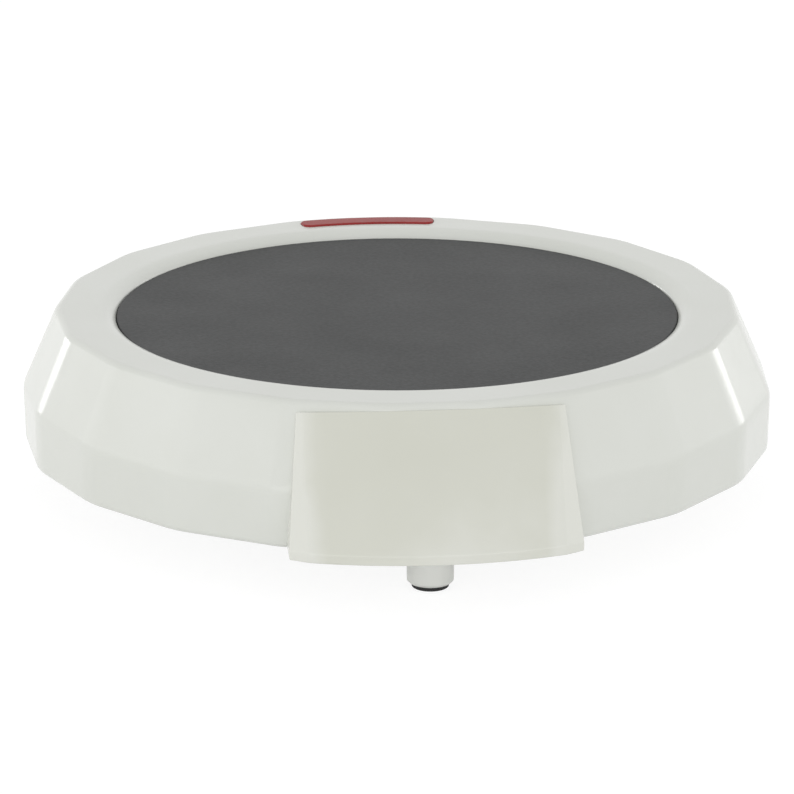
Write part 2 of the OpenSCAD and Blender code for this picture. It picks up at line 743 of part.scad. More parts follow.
// The bottom cover with its foot posts, locating rim, vents and the cradle of the terminal block
module base_cover() {
    panel_clear_y = panel_back_y - base_gap;
    cradle_h = block_h / 2;
    rear_gap = gland_barb_r + base_gap;
    color(white_plastic)
    difference() {
        union() {
            difference() {
                union() {
                    translate([0, 0, belt_bottom_z]) linear_extrude(base_t) base_outline(0);
                    translate([0, 0, base_z - base_t / 2])
                        linear_extrude(rim_h + base_t / 2)
                            difference() {
                                base_outline(0);
                                base_outline(rim_t);
                                translate([-rear_gap, 0]) square([2 * rear_gap, 2 * base_corner_r]);
                            }
                }
                intersection() {
                    panel_sides(-panel_hook - base_gap);
                    translate([-panel_bottom_w, -2 * panel_foot_y, 0])
                        cube([2 * panel_bottom_w, 2 * panel_foot_y - panel_clear_y, deck_z]);
                }
            }
            intersection() {
                panel_block(panel_wall + base_gap, panel_clear_y - 4 * cut, belt_bottom_z);
                translate([-panel_bottom_w, -2 * panel_foot_y, belt_bottom_z])
                    cube([2 * panel_bottom_w, 2 * panel_foot_y, base_t]);
            }
            for (b = foot_bearings)
                at_bearing(b, foot_circle) foot_post();
            translate([0, block_y, base_z - base_t / 2])
                linear_extrude(cradle_h + base_t / 2)
                    for (side = [-1, 1])
                        translate([side * (block_w / 2 + fit + rim_t / 2), 0])
                            square([rim_t, block_d], center = true);
        }
        for (b = foot_bearings)
            at_bearing(b, foot_circle) {
                disc(foot_d / 2 + fit, pad_out - cut, foot_head_z + fit);
                disc(foot_stem_d / 2 + fit, pad_out, head_seat_z);
                disc(screw_d / 2 + screw_gap, belt_bottom_z - screw_seat - cut, base_z + cut);
            }
        for (i = [0:vent_count - 1])
            at_bearing(360 * i / vent_count, vent_circle) vent_slot();
    }
}

// A rubber pad: a stem plugged into the post and a head that stands out of it
module rubber_foot(bearing) {
    color(rubber_black)
    at_bearing(bearing, foot_circle) {
        rotate_extrude() {
            difference() {
                square([foot_d / 2, foot_head_z]);
                translate([foot_d / 2 - foot_round, 0]) square(foot_round);
            }
            intersection() {
                translate([foot_d / 2 - foot_round, foot_round]) circle(foot_round, $fn = 32);
                square([foot_d / 2, foot_head_z]);
            }
        }
        disc(foot_stem_d / 2, foot_head_z - cut, stem_top_z);
    }
}

module foot_front() rubber_foot(foot_bearings[0]);
module foot_rear_right() rubber_foot(foot_bearings[1]);
module foot_rear_left() rubber_foot(foot_bearings[2]);

// A pan-head screw that stands head down, with its head's seat at a height
module screw(seat_z, length, diameter, head_d, head_h) {
    recess_l = (diameter + head_d) / 2;
    recess_w = diameter / 4;
    disc(diameter / 2, seat_z - head_h / 2, seat_z + length);
    difference() {
        disc(head_d / 2, seat_z - head_h, seat_z);
        translate([0, 0, seat_z - head_h])
            for (turn = [0, 90])
                rotate([0, 0, turn]) cube([recess_l, recess_w, head_h / 2], center = true);
    }
}

// The screws that hold the base, hidden in the posts above the pads
module base_screws() {
    color(steel)
    for (b = foot_bearings)
        at_bearing(b, foot_circle) screw(head_seat_z, base_screw_l, screw_d, screw_head_d, screw_head_h);
}

// The snap-in bush for the mains cord, in the rear of the belt
module cord_gland() {
    flange_y = gland_face_y + fit;
    nose_y = gland_face_y + gland_nose;
    barb_y = gland_wall_y - fit;
    body_r = gland_hole_r - fit;
    relief_r = gland_bore_r + gland_relief;
    color(white_plastic)
    translate([0, 0, gland_z])
        rotate([-90, 0, 0])
            rotate_extrude()
                polygon([
                    [relief_r, barb_y - gland_barb_l],
                    [body_r, barb_y - gland_barb_l],
                    [gland_barb_r, barb_y],
                    [body_r, barb_y],
                    [body_r, flange_y],
                    [gland_flange_r, flange_y],
                    [gland_flange_r, flange_y + gland_flange_t],
                    [body_r + fit, flange_y + gland_flange_t],
                    [(gland_bore_r + 2 * body_r) / 3, nose_y],
                    [gland_bore_r, nose_y],
                    [gland_bore_r, flange_y + gland_flange_t],
                    [relief_r, flange_y]
                ]);
}

// The red lens in the deck, with a flange that stops it from below
module indicator_lens() {
    flange_half = lens_half + atan(lens_flange_w / lens_out_r);
    color(lens_red)
    union() {
        rear_arc(lens_in_r, lens_out_r, lens_half, deck_under_z - lens_flange_t / 2, deck_z + lens_proud);
        rear_arc(holder_in_r, holder_out_r, flange_half, lens_flange_z, deck_under_z);
    }
}

// The trough that holds the lamp under the lens
module lamp_holder() {
    end_wall = 1.2;
    end_angle = atan(end_wall / holder_in_r);
    slot_w = lead_d + 2 * clear;
    saddle_h = lamp_z - lamp_d / 2 - fit - holder_z;
    lamp_room = holder_half - end_angle;
    color(white_plastic)
    difference() {
        union() {
            difference() {
                rear_arc(holder_in_r, holder_out_r, holder_half, holder_z, lens_flange_z);
                rear_arc(holder_in_r + holder_wall, holder_out_r - holder_wall, lamp_room,
                    holder_z + holder_wall, lens_flange_z + cut);
            }
            intersection() {
                rear_arc(holder_in_r, holder_out_r, holder_half, holder_z, lens_flange_z);
                for (side = [-1, 1])
                    translate([side * lamp_l / 3, holder_mid_r, holder_z + saddle_h / 2])
                        cube([end_wall, 2 * lens_w, saddle_h], center = true);
            }
            for (side = [-1, 1])
                difference() {
                    union() {
                        at_bearing(180 + side * ear_bearing, holder_mid_r)
                            disc(ear_r, holder_z, holder_z + ear_t);
                        rotate([0, 0, side * (holder_half + ear_bearing) / 2])
                            rear_arc(holder_mid_r - ear_r / 2, holder_mid_r + ear_r / 2,
                                (ear_bearing - holder_half) / 2 + end_angle, holder_z, holder_z + ear_t);
                    }
                    rear_arc(holder_in_r + holder_wall, holder_out_r - holder_wall, lamp_room,
                        holder_z + holder_wall, lens_flange_z);
                }
        }
        translate([-lamp_lead_x, holder_mid_r - slot_w / 2, lamp_z - slot_w / 2])
            cube([2 * lamp_lead_x, slot_w, holder_h]);
        for (b = [180 - ear_bearing, 180 + ear_bearing])
            at_bearing(b, holder_mid_r) disc(lamp_screw_d / 2 + screw_gap, holder_z - cut, holder_z + ear_t + cut);
    }
}

// The two screws of the lamp's holder
module lamp_screws() {
    color(steel)
    for (b = [180 - ear_bearing, 180 + ear_bearing])
        at_bearing(b, holder_mid_r)
            screw(holder_z, lamp_screw_l, lamp_screw_d, lamp_screw_head_d, lamp_screw_head_h);
}

// The neon lamp, with one lead to each side, the left one turned down to the resistor
module neon_lamp() {
    color("#f0b48c")
    union() {
        translate([0, holder_mid_r, lamp_z]) {
            rod_x(lamp_d / 2, -lamp_l / 2, lamp_l / 2);
            rod_x(lead_d / 2, -lamp_lead_x, lamp_wire_x - fit);
        }
        translate([-lamp_lead_x, holder_mid_r, 0]) {
            disc(lead_d / 2, resistor_top_z, lamp_z);
            translate([0, 0, lamp_z]) sphere(lead_d / 2, $fn = 32);
        }
    }
}

// The lamp's series resistor, which hangs from the lamp's lead
module lamp_resistor() {
    body_z = resistor_foot_z + lead_end;
    color("#c9b78c")
    translate([-lamp_lead_x, holder_mid_r, 0]) {
        disc(lead_d / 2, resistor_foot_z, resistor_top_z);
        disc(resistor_d / 2, body_z, body_z + resistor_l);
    }
}

// The heated disc: a raised face, a flange under the deck and a stud
module heating_plate() {
    color(plate_grey)
    union() {
        rotate_extrude() {
            translate([0, plate_under_z]) square([flange_r, flange_t]);
            difference() {
                translate([0, plate_under_z]) square([plate_r, plate_z - plate_under_z]);
                translate([plate_r - plate_round, plate_z - plate_round]) square(plate_round);
            }
            intersection() {
                translate([plate_r - plate_round, plate_z - plate_round]) circle(plate_round, $fn = 32);
                translate([0, plate_under_z]) square([plate_r, plate_z - plate_under_z]);
            }
        }
        disc(stud_r, nut_z - stud_end, plate_under_z + flange_t / 2);
    }
}

// The heat-proof ring between the flange and the deck
module plate_gasket() {
    color("#c4c4bc") ring(flange_r, mouth_r + clear, flange_top_z, deck_under_z);
}

// The mica sheet above the element
module upper_mica() {
    color(mica_brown) ring(sheet_r, stud_r + clear, upper_mica_z, plate_under_z);
}

// A stretch of track bent round the axis, from the end angle on
module track_arc(row_r, sweep)
    rotate([0, 0, track_end])
        rotate_extrude(angle = sweep)
            translate([row_r - track_w / 2, track_z])
                square([track_w, track_t]);

// The outer rows on one half of the element, with the links between all its rows
module track_half() {
    for (row = [0:track_rows - 2]) {
        row_r = track_out_r - row * track_pitch;
        track_arc(row_r, 180 - 2 * track_end);
        rotate([0, 0, row % 2 == 0 ? 180 - track_end : track_end])
            translate([row_r - track_pitch - track_w / 4, -track_w / 2, track_z])
                cube([track_pitch + track_w / 2, track_w, track_t]);
    }
    translate([terminal_x, terminal_y, 0]) disc(track_w, track_z, track_z + track_t);
}

// The flat resistance track, its ends at the right and its two halves joined by the inner row
module heating_element() {
    color("#8d8f92")
    union() {
        track_half();
        mirror([0, 1, 0]) track_half();
        track_arc(track_in_r, 360 - 2 * track_end);
    }
}

// The mica sheet below the element, with holes for its pins
module lower_mica() {
    color(mica_brown)
    difference() {
        ring(sheet_r, stud_r + clear, lower_mica_z, track_z);
        for (side = [-1, 1])
            translate([terminal_x, side * terminal_y, 0])
                disc(pin_d / 2 + clear, lower_mica_z - cut, track_z + cut);
    }
}

// The pins that bring the element's ends down
module heater_terminals() {
    color(steel)
    for (side = [-1, 1])
        translate([terminal_x, side * terminal_y, 0]) disc(pin_d / 2, pin_end_z, track_z);
}

// The ceramic beads on the pins
module terminal_beads() {
    color(ceramic)
    for (side = [-1, 1])
        translate([terminal_x, side * terminal_y, 0]) ring(bead_d / 2, pin_d / 2 + fit, bead_z, lower_mica_z);
}

// The pad that keeps the heat at the plate
module insulation_pad() {
    color("#e3ded2")
    difference() {
        ring(sheet_r, stud_r + clear, pad_z, lower_mica_z);
        for (side = [-1, 1])
            translate([terminal_x, side * terminal_y, 0])
                disc(bead_d / 2 + fit, pad_z - cut, lower_mica_z + cut);
    }
}

// The pressed bracket that clamps the heater and holds the plate up to the deck, clear of the beads
module support_bracket() {
    flange_in = sheet_r + clear;
    flange_l = arm_circle - arm_boss_d - flange_in + arm_w / 2;
    color(steel)
    difference() {
        union() {
            disc(bracket_r, bracket_z, pad_z);
            for (b = arm_bearings)
                rotate([0, 0, b]) {
                    translate([-arm_w / 2, -arm_circle, bracket_z]) cube([arm_w, arm_circle, bracket_t]);
                    translate([0, -arm_circle, 0]) disc(arm_w / 2, bracket_z, pad_z);
                    for (side = [-1, 1])
                        translate([side * (arm_w - bracket_t) / 2, -flange_in - flange_l / 2,
                                bracket_z + (arm_flange_h + bracket_t) / 2])
                            cube([bracket_t, flange_l, arm_flange_h + bracket_t], center = true);
                }
        }
        disc(stud_r + clear, bracket_z - cut, pad_z + cut);
        for (i = [0:5])
            at_bearing(60 * i, bracket_hole_circle) disc(bracket_hole_d / 2, bracket_z - cut, pad_z + cut);
        for (b = arm_bearings)
            at_bearing(b, arm_circle) disc(screw_d / 2 + screw_gap, bracket_z - cut, pad_z + cut);
        for (side = [-1, 1])
            translate([terminal_x, side * terminal_y, 0])
                disc(bead_d / 2 + screw_gap, bracket_z - cut, pad_z + cut);
    }
}

// The screws of the bracket's arms
module bracket_screws() {
    color(steel)
    for (b = arm_bearings)
        at_bearing(b, arm_circle) screw(bracket_z, bracket_screw_l, screw_d, screw_head_d, screw_head_h);
}

// The washer on the plate's stud
module plate_washer() {
    color(steel) ring(washer_d / 2, stud_r + clear, washer_z, bracket_z);
}

// The hexagon nut on the plate's stud
module plate_nut() {
    color(steel)
    difference() {
        translate([0, 0, nut_z]) cylinder(h = nut_h, r = nut_w / 2 / cos(30), $fn = 6);
        disc(stud_r + bite, nut_z - cut, washer_z + cut);
    }
}

// The one-shot fuse under the bracket
module thermal_fuse() {
    color("#cfc9b0")
    union() {
        rod_y(fuse_d / 2, -fuse_l / 2, fuse_l / 2, fuse_x, fuse_z);
        rod_y(lead_d / 2, -fuse_lead_y, fuse_lead_y, fuse_x, fuse_z);
    }
}

// The glass-fibre sleeve on the fuse
module fuse_sleeve() {
    color("#eeeae0")
    difference() {
        rod_y(sleeve_r, -sleeve_l / 2, sleeve_l / 2, fuse_x, fuse_z);
        rod_y(fuse_d / 2 + fit, -sleeve_l / 2 - cut, sleeve_l / 2 + cut, fuse_x, fuse_z);
    }
}

// The strap that clamps the sleeve to the bracket
module fuse_strap() {
    inside_r = sleeve_r + bite;
    outside_r = inside_r + strap_t;
    seat = bracket_z - fuse_z;
    color(steel)
    translate([fuse_x, 0, fuse_z])
        rotate([90, 0, 0])
            linear_extrude(strap_w, center = true)
                difference() {
                    union() {
                        circle(outside_r);
                        translate([-outside_r, 0]) square([2 * outside_r, seat]);
                        translate([-outside_r - strap_foot, seat - strap_t])
                            square([2 * (outside_r + strap_foot), strap_t]);
                    }
                    circle(inside_r);
                    translate([-inside_r, 0]) square([2 * inside_r, seat + cut]);
                    translate([-2 * outside_r, seat]) square([4 * outside_r, outside_r]);
                }
}

// A crimp sleeve that stands on its lead's end, with the wire entering from the other end
module crimp(lead_diameter) {
    difference() {
        disc(crimp_d / 2, 0, crimp_l, $fn = 48);
        disc(lead_diameter / 2 + fit, -cut, crimp_l);
        disc(wire_d / 2 + fit, crimp_l / 2, crimp_l + cut);
    }
}

// The crimped joints on the fuse's leads and the element's pins
module crimp_sleeves() {
    color("#c9ccce") {
        for (turn = [0, 180])
            translate([fuse_x, 0, fuse_z])
                rotate([0, 0, turn])
                    translate([0, fuse_crimp_y, 0]) rotate([-90, 0, 0]) crimp(lead_d);
        for (side = [-1, 1])
            translate([terminal_x, side * terminal_y, bead_z]) rotate([180, 0, 0]) crimp(pin_d);
    }
}

// The two-pole terminal block on the base, its rear open to the cord's cores
module terminal_block() {
    color(ceramic)
    difference() {
        translate([-block_w / 2, block_front_y, base_z]) cube([block_w, block_d, block_h]);
        for (side = [-1, 1]) {
            rod_y(pole_bore_d / 2, block_front_y - cut, block_front_y + block_d + cut, side * pole_x, pole_z);
            for (end = [-1, 1])
                translate([side * pole_x, block_y + end * block_d / 4, 0])
                    disc(pole_screw_d / 2 + fit, pole_z, block_top_z + cut);
        }
    }
}

// The four screws of the terminal block
module terminal_screws() {
    screw_z = pole_z + pole_bore_d / 2;
    slot_h = 0.6;
    color("#c8a850")
    for (side = [-1, 1], end = [-1, 1])
        translate([side * pole_x, block_y + end * block_d / 4, 0])
            difference() {
                disc(pole_screw_d / 2, screw_z, block_top_z - clear);
                translate([0, 0, block_top_z - clear]) cube([2 * pole_screw_d, slot_h, 2 * slot_h], center = true);
            }
}

module line_wire() color("#2b2b2b") lead(line_route, wire_d);
module fuse_wire() color("#2b2b2b") lead(fuse_route, wire_d);
module neutral_wire() color("#e8e8e4") lead(neutral_route, wire_d);
module lamp_wire_line() color("#2b2b2b") lead(lamp_line_route, wire_d);
module lamp_wire_neutral() color("#e8e8e4") lead(lamp_neutral_route, wire_d);

upper_housing();
front_panel();
base_cover();
foot_front();
foot_rear_right();
foot_rear_left();
base_screws();
cord_gland();
indicator_lens();
lamp_holder();
lamp_screws();
neon_lamp();
lamp_resistor();
heating_plate();
plate_gasket();
upper_mica();
heating_element();
lower_mica();
heater_terminals();
terminal_beads();
insulation_pad();
support_bracket();
bracket_screws();
plate_washer();
plate_nut();
thermal_fuse();
fuse_sleeve();
fuse_strap();
crimp_sleeves();
terminal_block();
terminal_screws();
line_wire();
fuse_wire();
neutral_wire();
lamp_wire_line();
lamp_wire_neutral();
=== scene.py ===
"""Candle warmer plate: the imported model, dressed and lit for its picture.

Sizes are in millimetres until a piece is finished. Z is up from the surface that the warmer stands on, the
front panel faces -Y, and a bearing is an angle about Z in degrees: 0 at the front, 90 right, 180 rear.
"""
import json
import logging
import math
from dataclasses import dataclass, field
from enum import Enum
from typing import Callable, ClassVar, Iterable, Sequence

import bmesh
import bpy
from mathutils import Matrix, Vector


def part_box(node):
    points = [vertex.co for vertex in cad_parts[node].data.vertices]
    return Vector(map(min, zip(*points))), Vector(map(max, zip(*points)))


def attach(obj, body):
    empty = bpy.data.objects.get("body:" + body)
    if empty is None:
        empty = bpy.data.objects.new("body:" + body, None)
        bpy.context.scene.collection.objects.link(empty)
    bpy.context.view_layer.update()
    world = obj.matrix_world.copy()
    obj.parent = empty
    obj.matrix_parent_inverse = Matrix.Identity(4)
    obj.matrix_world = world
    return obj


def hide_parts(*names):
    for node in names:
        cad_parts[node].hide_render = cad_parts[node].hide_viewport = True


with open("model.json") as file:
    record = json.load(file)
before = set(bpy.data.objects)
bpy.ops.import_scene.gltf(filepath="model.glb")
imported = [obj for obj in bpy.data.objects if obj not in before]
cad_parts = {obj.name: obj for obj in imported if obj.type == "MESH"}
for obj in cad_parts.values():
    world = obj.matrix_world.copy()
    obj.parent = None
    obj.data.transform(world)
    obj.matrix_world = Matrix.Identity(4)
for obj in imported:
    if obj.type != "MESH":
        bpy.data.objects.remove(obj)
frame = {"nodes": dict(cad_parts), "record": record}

LOG = logging.getLogger("warmer")
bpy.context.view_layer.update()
UP = Vector((0, 0, 1))
REARWARD = Vector((0, 1, 0))
MM = 0.001
# Vertices closer than this, in millimetres, count as one.
WELD = 0.0005
# Distance from a circle, in millimetres, that the flat sides of a round form explain.
NEAR = 0.1
# Turns between two faces in degrees, past which an edge counts as bent, clearly bent or a corner.
FAINT_BEND = 4.0
CLEAR_BEND = 6.0
CORNER_BEND = 45.0

Colour = tuple[float, float, float, float]
Rgb = tuple[int, int, int]
Stop = tuple[float, Colour]
Point2 = tuple[float, float]
Point3 = tuple[float, float, float]
Geometry = list[bmesh.types.BMVert | bmesh.types.BMEdge | bmesh.types.BMFace]
EdgeTest = Callable[[bmesh.types.BMEdge], bool]
Socket = bpy.types.NodeSocket


class Body(Enum):
    """The bodies that pieces ride on."""

    ROOT = "root"


class Slot(Enum):
    """The record's material slots."""

    HOUSING = "housing_white"
    PANEL = "panel_white"
    BASE = "base_white"
    FOOT = "foot_rubber"
    GLAND = "gland_white"
    LENS = "lens_red"
    INNER = "inner_white"
    LAMP = "lamp_glass"
    RESISTOR = "resistor_tan"
    PLATE = "plate_coating"
    GASKET = "gasket_grey"
    MICA = "mica"
    ELEMENT = "resistance_metal"
    CERAMIC = "bead_ceramic"
    FIBRE = "fibre_pad"
    ZINC = "zinc_steel"
    FUSE = "fuse_metal"
    BRAID = "glass_sleeve"
    TINNED = "tinned_metal"
    BRASS = "brass"
    BLACK_WIRE = "wire_black"
    WHITE_WIRE = "wire_white"


class Carving(Enum):
    """Ways to combine two closed forms."""

    CUT = "DIFFERENCE"
    JOIN = "UNION"


class Edging(Enum):
    """How a CAD node's edges are softened, each with the width of its bevel in millimetres."""

    CRISP = 0.06
    FINE = 0.12
    MOULDED = 0.3


class Arc(Enum):
    """How many faces a rounding has across it."""

    COARSE = 3
    PLAIN = 4
    ENDS = 5
    FINE = 6


class Sides(Enum):
    """How many sides a round form has."""

    BOSS = 32
    PAD = 48
    SMALL = 64
    LARGE = 120


class Sum(Enum):
    """What a Math node works out."""

    PLUS = "ADD"
    LARGER = "MAXIMUM"
    SIZE = "ABSOLUTE"


def screen(red: int, green: int, blue: int) -> Colour:
    """A colour as a screen shows it, in linear light.

    Args:
        red: Red from 0 to 255.
        green: Green from 0 to 255.
        blue: Blue from 0 to 255.

    Returns:
        The linear colour with full alpha.
    """
    def straighten(level: int) -> float:
        """One channel in linear light, by the sRGB curve."""
        share = level / 255
        return share / 12.92 if share <= 0.04045 else ((share + 0.055) / 1.055) ** 2.4
    return (straighten(red), straighten(green), straighten(blue), 1.0)


def combine(tree: bpy.types.NodeTree, how: Sum, *sources: Socket) -> Socket:
    """Works a sum on the values of a node tree.

    Args:
        tree: The node tree.
        how: The sum.
        sources: The values that go into it.

    Returns:
        The result.
    """
    node = tree.nodes.new("ShaderNodeMath")
    node.operation = how.value
    for source, into in zip(sources, node.inputs):
        tree.links.new(source, into)
    return node.outputs["Value"]


@dataclass(frozen=True)
class Grain:
    """Noise: the size of its grains in millimetres, its octaves, and how close it lies along each axis."""

    size_mm: float
    detail: float
    lay: Point3 = (1, 1, 1)


class NodeSheet:
    """A material's node tree with the nodes that the finishes share."""

    def __init__(self, name: str) -> None:
        """Starts a material with a Principled shader and Object coordinates.

        Args:
            name: The material's name.
        """
        self.material: bpy.types.Material = bpy.data.materials.new(name)
        self.material.use_nodes = True
        self.tree = self.material.node_tree
        self.tree.nodes.clear()
        output = self.add("ShaderNodeOutputMaterial")
        self.shader = self.add("ShaderNodeBsdfPrincipled")
        self.join(self.shader.outputs["BSDF"], output, "Surface")
        self.place: Socket = self.add("ShaderNodeTexCoord").outputs["Object"]

    def add(self, kind: str) -> bpy.types.Node:
        """Adds a node of that kind."""
        return self.tree.nodes.new(kind)

    def join(self, source: Socket, target: bpy.types.Node, into: str) -> None:
        """Links an output to a node's input by its name."""
        self.tree.links.new(source, target.inputs[into])

    def settle(self, sockets: dict[str, float]) -> None:
        """Sets the shader's sockets by their names."""
        for name, value in sockets.items():
            self.shader.inputs[name].default_value = value

    def coordinates(self, stretch: Point3 = (1, 1, 1), turn: Point3 = (0, 0, 0)) -> Socket:
        """Object coordinates, stretched and turned.

        Args:
            stretch: Factor along each axis, where a large one packs the pattern closer.
            turn: Angles about the axes in degrees.

        Returns:
            The coordinates.
        """
        mapping = self.add("ShaderNodeMapping")
        mapping.inputs["Scale"].default_value = stretch
        mapping.inputs["Rotation"].default_value = [math.radians(angle) for angle in turn]
        self.join(self.place, mapping, "Vector")
        return mapping.outputs["Vector"]

    def axes(self) -> bpy.types.Node:
        """Object coordinates, parted into X, Y and Z.

        Returns:
            The node with the three.
        """
        node = self.add("ShaderNodeSeparateXYZ")
        self.join(self.place, node, "Vector")
        return node

    def noise(self, grain: Grain) -> Socket:
        """A noise texture.

        Args:
            grain: Its grain.

        Returns:
            The noise, from 0 to 1.
        """
        node = self.add("ShaderNodeTexNoise")
        node.inputs["Scale"].default_value = 1 / (grain.size_mm * MM)
        node.inputs["Detail"].default_value = grain.detail
        self.join(self.coordinates(grain.lay), node, "Vector")
        return node.outputs["Fac"]

    def cells(self, size_mm: float, stretch: Point3 = (1, 1, 1)) -> bpy.types.Node:
        """A cell texture.

        Args:
            size_mm: Size of its cells in millimetres.
            stretch: Factor along each axis.

        Returns:
            The node with the cells' colours and distances.
        """
        node = self.add("ShaderNodeTexVoronoi")
        node.inputs["Scale"].default_value = 1 / (size_mm * MM)
        self.join(self.coordinates(stretch), node, "Vector")
        return node

    def waves(self, pitch_mm: float, turn: Point3, wobble: float) -> Socket:
        """A wave texture, whose waves lie a tenth of pi apart at a scale of one.

        Args:
            pitch_mm: Distance between waves in millimetres.
            turn: Angles of the pattern about the axes in degrees.
            wobble: Distortion of the waves.

        Returns:
            The height of the waves, from 0 to 1.
        """
        node = self.add("ShaderNodeTexWave")
        node.inputs["Scale"].default_value = math.pi / 10 / (pitch_mm * MM)
        node.inputs["Distortion"].default_value = wobble
        self.join(self.coordinates(turn=turn), node, "Vector")
        return node.outputs["Fac"]

    def rescale(self, source: Socket, before: Point2, after: Point2) -> Socket:
        """Carries a value from one span to another and holds it there.

        Args:
            source: The value.
            before: Start and end of its own span.
            after: Start and end of the new span.

        Returns:
            The new value.
        """
        node = self.add("ShaderNodeMapRange")
        for name, level in zip(("From Min", "From Max", "To Min", "To Max"), before + after):
            node.inputs[name].default_value = level
        self.join(source, node, "Value")
        return node.outputs["Result"]

    def paint(self, source: Socket, stops: Sequence[Stop], stepped: bool = False) -> None:
        """Colours the shader's base by a value through a ramp.

        Args:
            source: The value, from 0 to 1.
            stops: Places from 0 to 1 with their colours.
            stepped: Whether each colour holds until the next place.
        """
        node = self.add("ShaderNodeValToRGB")
        ramp = node.color_ramp
        while len(ramp.elements) < len(stops):
            ramp.elements.new(0.5)
        for element, (place, colour) in zip(ramp.elements, stops):
            element.position = place
            element.color = colour
        if stepped:
            ramp.interpolation = "CONSTANT"
        self.join(source, node, "Fac")
        self.join(node.outputs["Color"], self.shader, "Base Color")

    def roughen(self, source: Socket, roughness: Point2) -> None:
        """Drives the shader's roughness by a value from 0 to 1, between two levels."""
        self.join(self.rescale(source, (0.0, 1.0), roughness), self.shader, "Roughness")

    def emboss(self, source: Socket, depth_mm: float) -> None:
        """Raises the surface by a value.

        Args:
            source: The value.
            depth_mm: Height of a full step in millimetres.
        """
        node = self.add("ShaderNodeBump")
        node.inputs["Distance"].default_value = depth_mm * MM
        self.join(source, node, "Height")
        self.join(node.outputs["Normal"], self.shader, "Normal")


@dataclass(frozen=True)
class Finish:
    """A surface that draws its own material."""

    name: str

    def draw(self, sheet: NodeSheet) -> None:
        """Draws the surface's nodes, which each kind of finish does in its own way."""
        raise NotImplementedError

    def material(self) -> bpy.types.Material:
        """Makes the material.

        Returns:
            The material.
        """
        sheet = NodeSheet(self.name)
        self.draw(sheet)
        return sheet.material


@dataclass(frozen=True)
class TwoTone(Finish):
    """A surface in a light and a deep shade, as a screen shows them, with a span of roughness."""

    light: Rgb
    deep: Rgb
    roughness: Point2
    spread: ClassVar[Point2] = (0.3, 0.7)

    def stops(self) -> list[Stop]:
        """The deep shade below one place of a ramp and the light shade above another."""
        return list(zip(self.spread, (screen(*self.deep), screen(*self.light))))


@dataclass(frozen=True)
class GrainedFinish(TwoTone):
    """A surface with noise in its colour, its gloss and its relief.

    Without a grain of its own, the gloss follows the colour and the relief follows the gloss.
    """

    shade: ClassVar[Grain]
    gloss: ClassVar[Grain | None] = None
    relief: ClassVar[Grain | None] = None
    relief_mm: ClassVar[float]
    sockets: ClassVar[dict[str, float]] = {}

    def colour(self, sheet: NodeSheet, clouds: Socket) -> None:
        """Colours the surface by its clouds."""
        sheet.paint(clouds, self.stops())

    def draw(self, sheet: NodeSheet) -> None:
        """Draws the colour, the gloss and the relief.

        Args:
            sheet: The material's nodes.
        """
        clouds = sheet.noise(self.shade)
        self.colour(sheet, clouds)
        gloss = sheet.noise(self.gloss) if self.gloss else clouds
        sheet.roughen(gloss, self.roughness)
        sheet.emboss(sheet.noise(self.relief) if self.relief else gloss, self.relief_mm)
        sheet.settle(self.sockets)


class MouldedPlastic(GrainedFinish):
    """White moulded plastic: faint clouds in its colour, and a skin that is not quite flat."""

    shade = Grain(24.0, 4.0)
    gloss = Grain(8.0, 5.0)
    relief = Grain(2.6, 3.0)
    relief_mm = 0.006
    sockets = {"IOR": 1.49}


@dataclass(frozen=True)
class PaintedLightPlastic(MouldedPlastic):
    """Moulded plastic with painted light: its colour turns paler towards its sides and its foot, over spans
    in metres, as a painted highlight.
    """

    # The pale shade of the painted light, at the sides and the foot.
    pale: Rgb
    painted_sides_m: ClassVar[Point2] = (0.019, 0.024)
    painted_sides_share: ClassVar[float] = 0.6
    painted_foot_m: ClassVar[Point2] = (0.022, 0.0095)
    painted_foot_share: ClassVar[float] = 0.25

    def colour(self, sheet: NodeSheet, clouds: Socket) -> None:
        """Colours the plastic by its clouds, and paints light by its distance from the middle and its height.

        Args:
            sheet: The material's nodes.
            clouds: The noise that clouds the colour.
        """
        axes = sheet.axes()
        away = combine(sheet.tree, Sum.SIZE, axes.outputs["X"])
        # Painted light: the colour turns paler towards the sides and towards the foot.
        sides = sheet.rescale(away, self.painted_sides_m, (0.0, self.painted_sides_share))
        foot = sheet.rescale(axes.outputs["Z"], self.painted_foot_m, (0.0, self.painted_foot_share))
        clouds_and_painted_light = combine(sheet.tree, Sum.PLUS, combine(sheet.tree, Sum.PLUS, clouds, sides), foot)
        sheet.paint(clouds_and_painted_light, self.stops() + [(1.0, screen(*self.pale))])


class TintedPlastic(GrainedFinish):
    """Red see-through plastic over a pale trough, with faint flow lines along it."""

    shade = Grain(7.0, 3.0, (0.35, 2.0, 1.0))
    gloss = Grain(3.0, 3.0)
    relief = Grain(2.2, 2.0)
    relief_mm = 0.006
    sockets = {"IOR": 1.36, "Specular IOR Level": 0.3}


class MouldedRubber(GrainedFinish):
    """Soft rubber or silicone with a dull, slightly dusty skin."""

    spread = (0.35, 0.75)
    shade = Grain(2.5, 6.0)
    relief = Grain(0.5, 4.0)
    relief_mm = 0.02


@dataclass(frozen=True)
class WorkedMetal(GrainedFinish):
    """Plated, drawn or pressed metal whose scratches follow one direction."""

    lay: Point3 = (1, 1, 1)
    shade = Grain(9.0, 5.0)
    relief_mm = 0.008
    sockets = {"Metallic": 1.0}

    @property
    def gloss(self) -> Grain:
        """The scratches."""
        return Grain(0.5, 5.0, self.lay)


class FiredCeramic(GrainedFinish):
    """Unglazed ceramic with small dark specks and a fine tooth."""

    spread = (0.28, 0.4)
    shade = Grain(0.35, 3.0)
    gloss = Grain(4.0, 4.0)
    relief = Grain(0.25, 3.0)
    relief_mm = 0.02


class FibreFelt(GrainedFinish):
    """Felted ceramic fibre, its strands lying flat and crossed by others."""

    shade = Grain(1.4, 8.0, (1.0, 5.0, 2.0))
    relief = Grain(0.8, 8.0, (5.0, 1.0, 2.0))
    relief_mm = 0.12


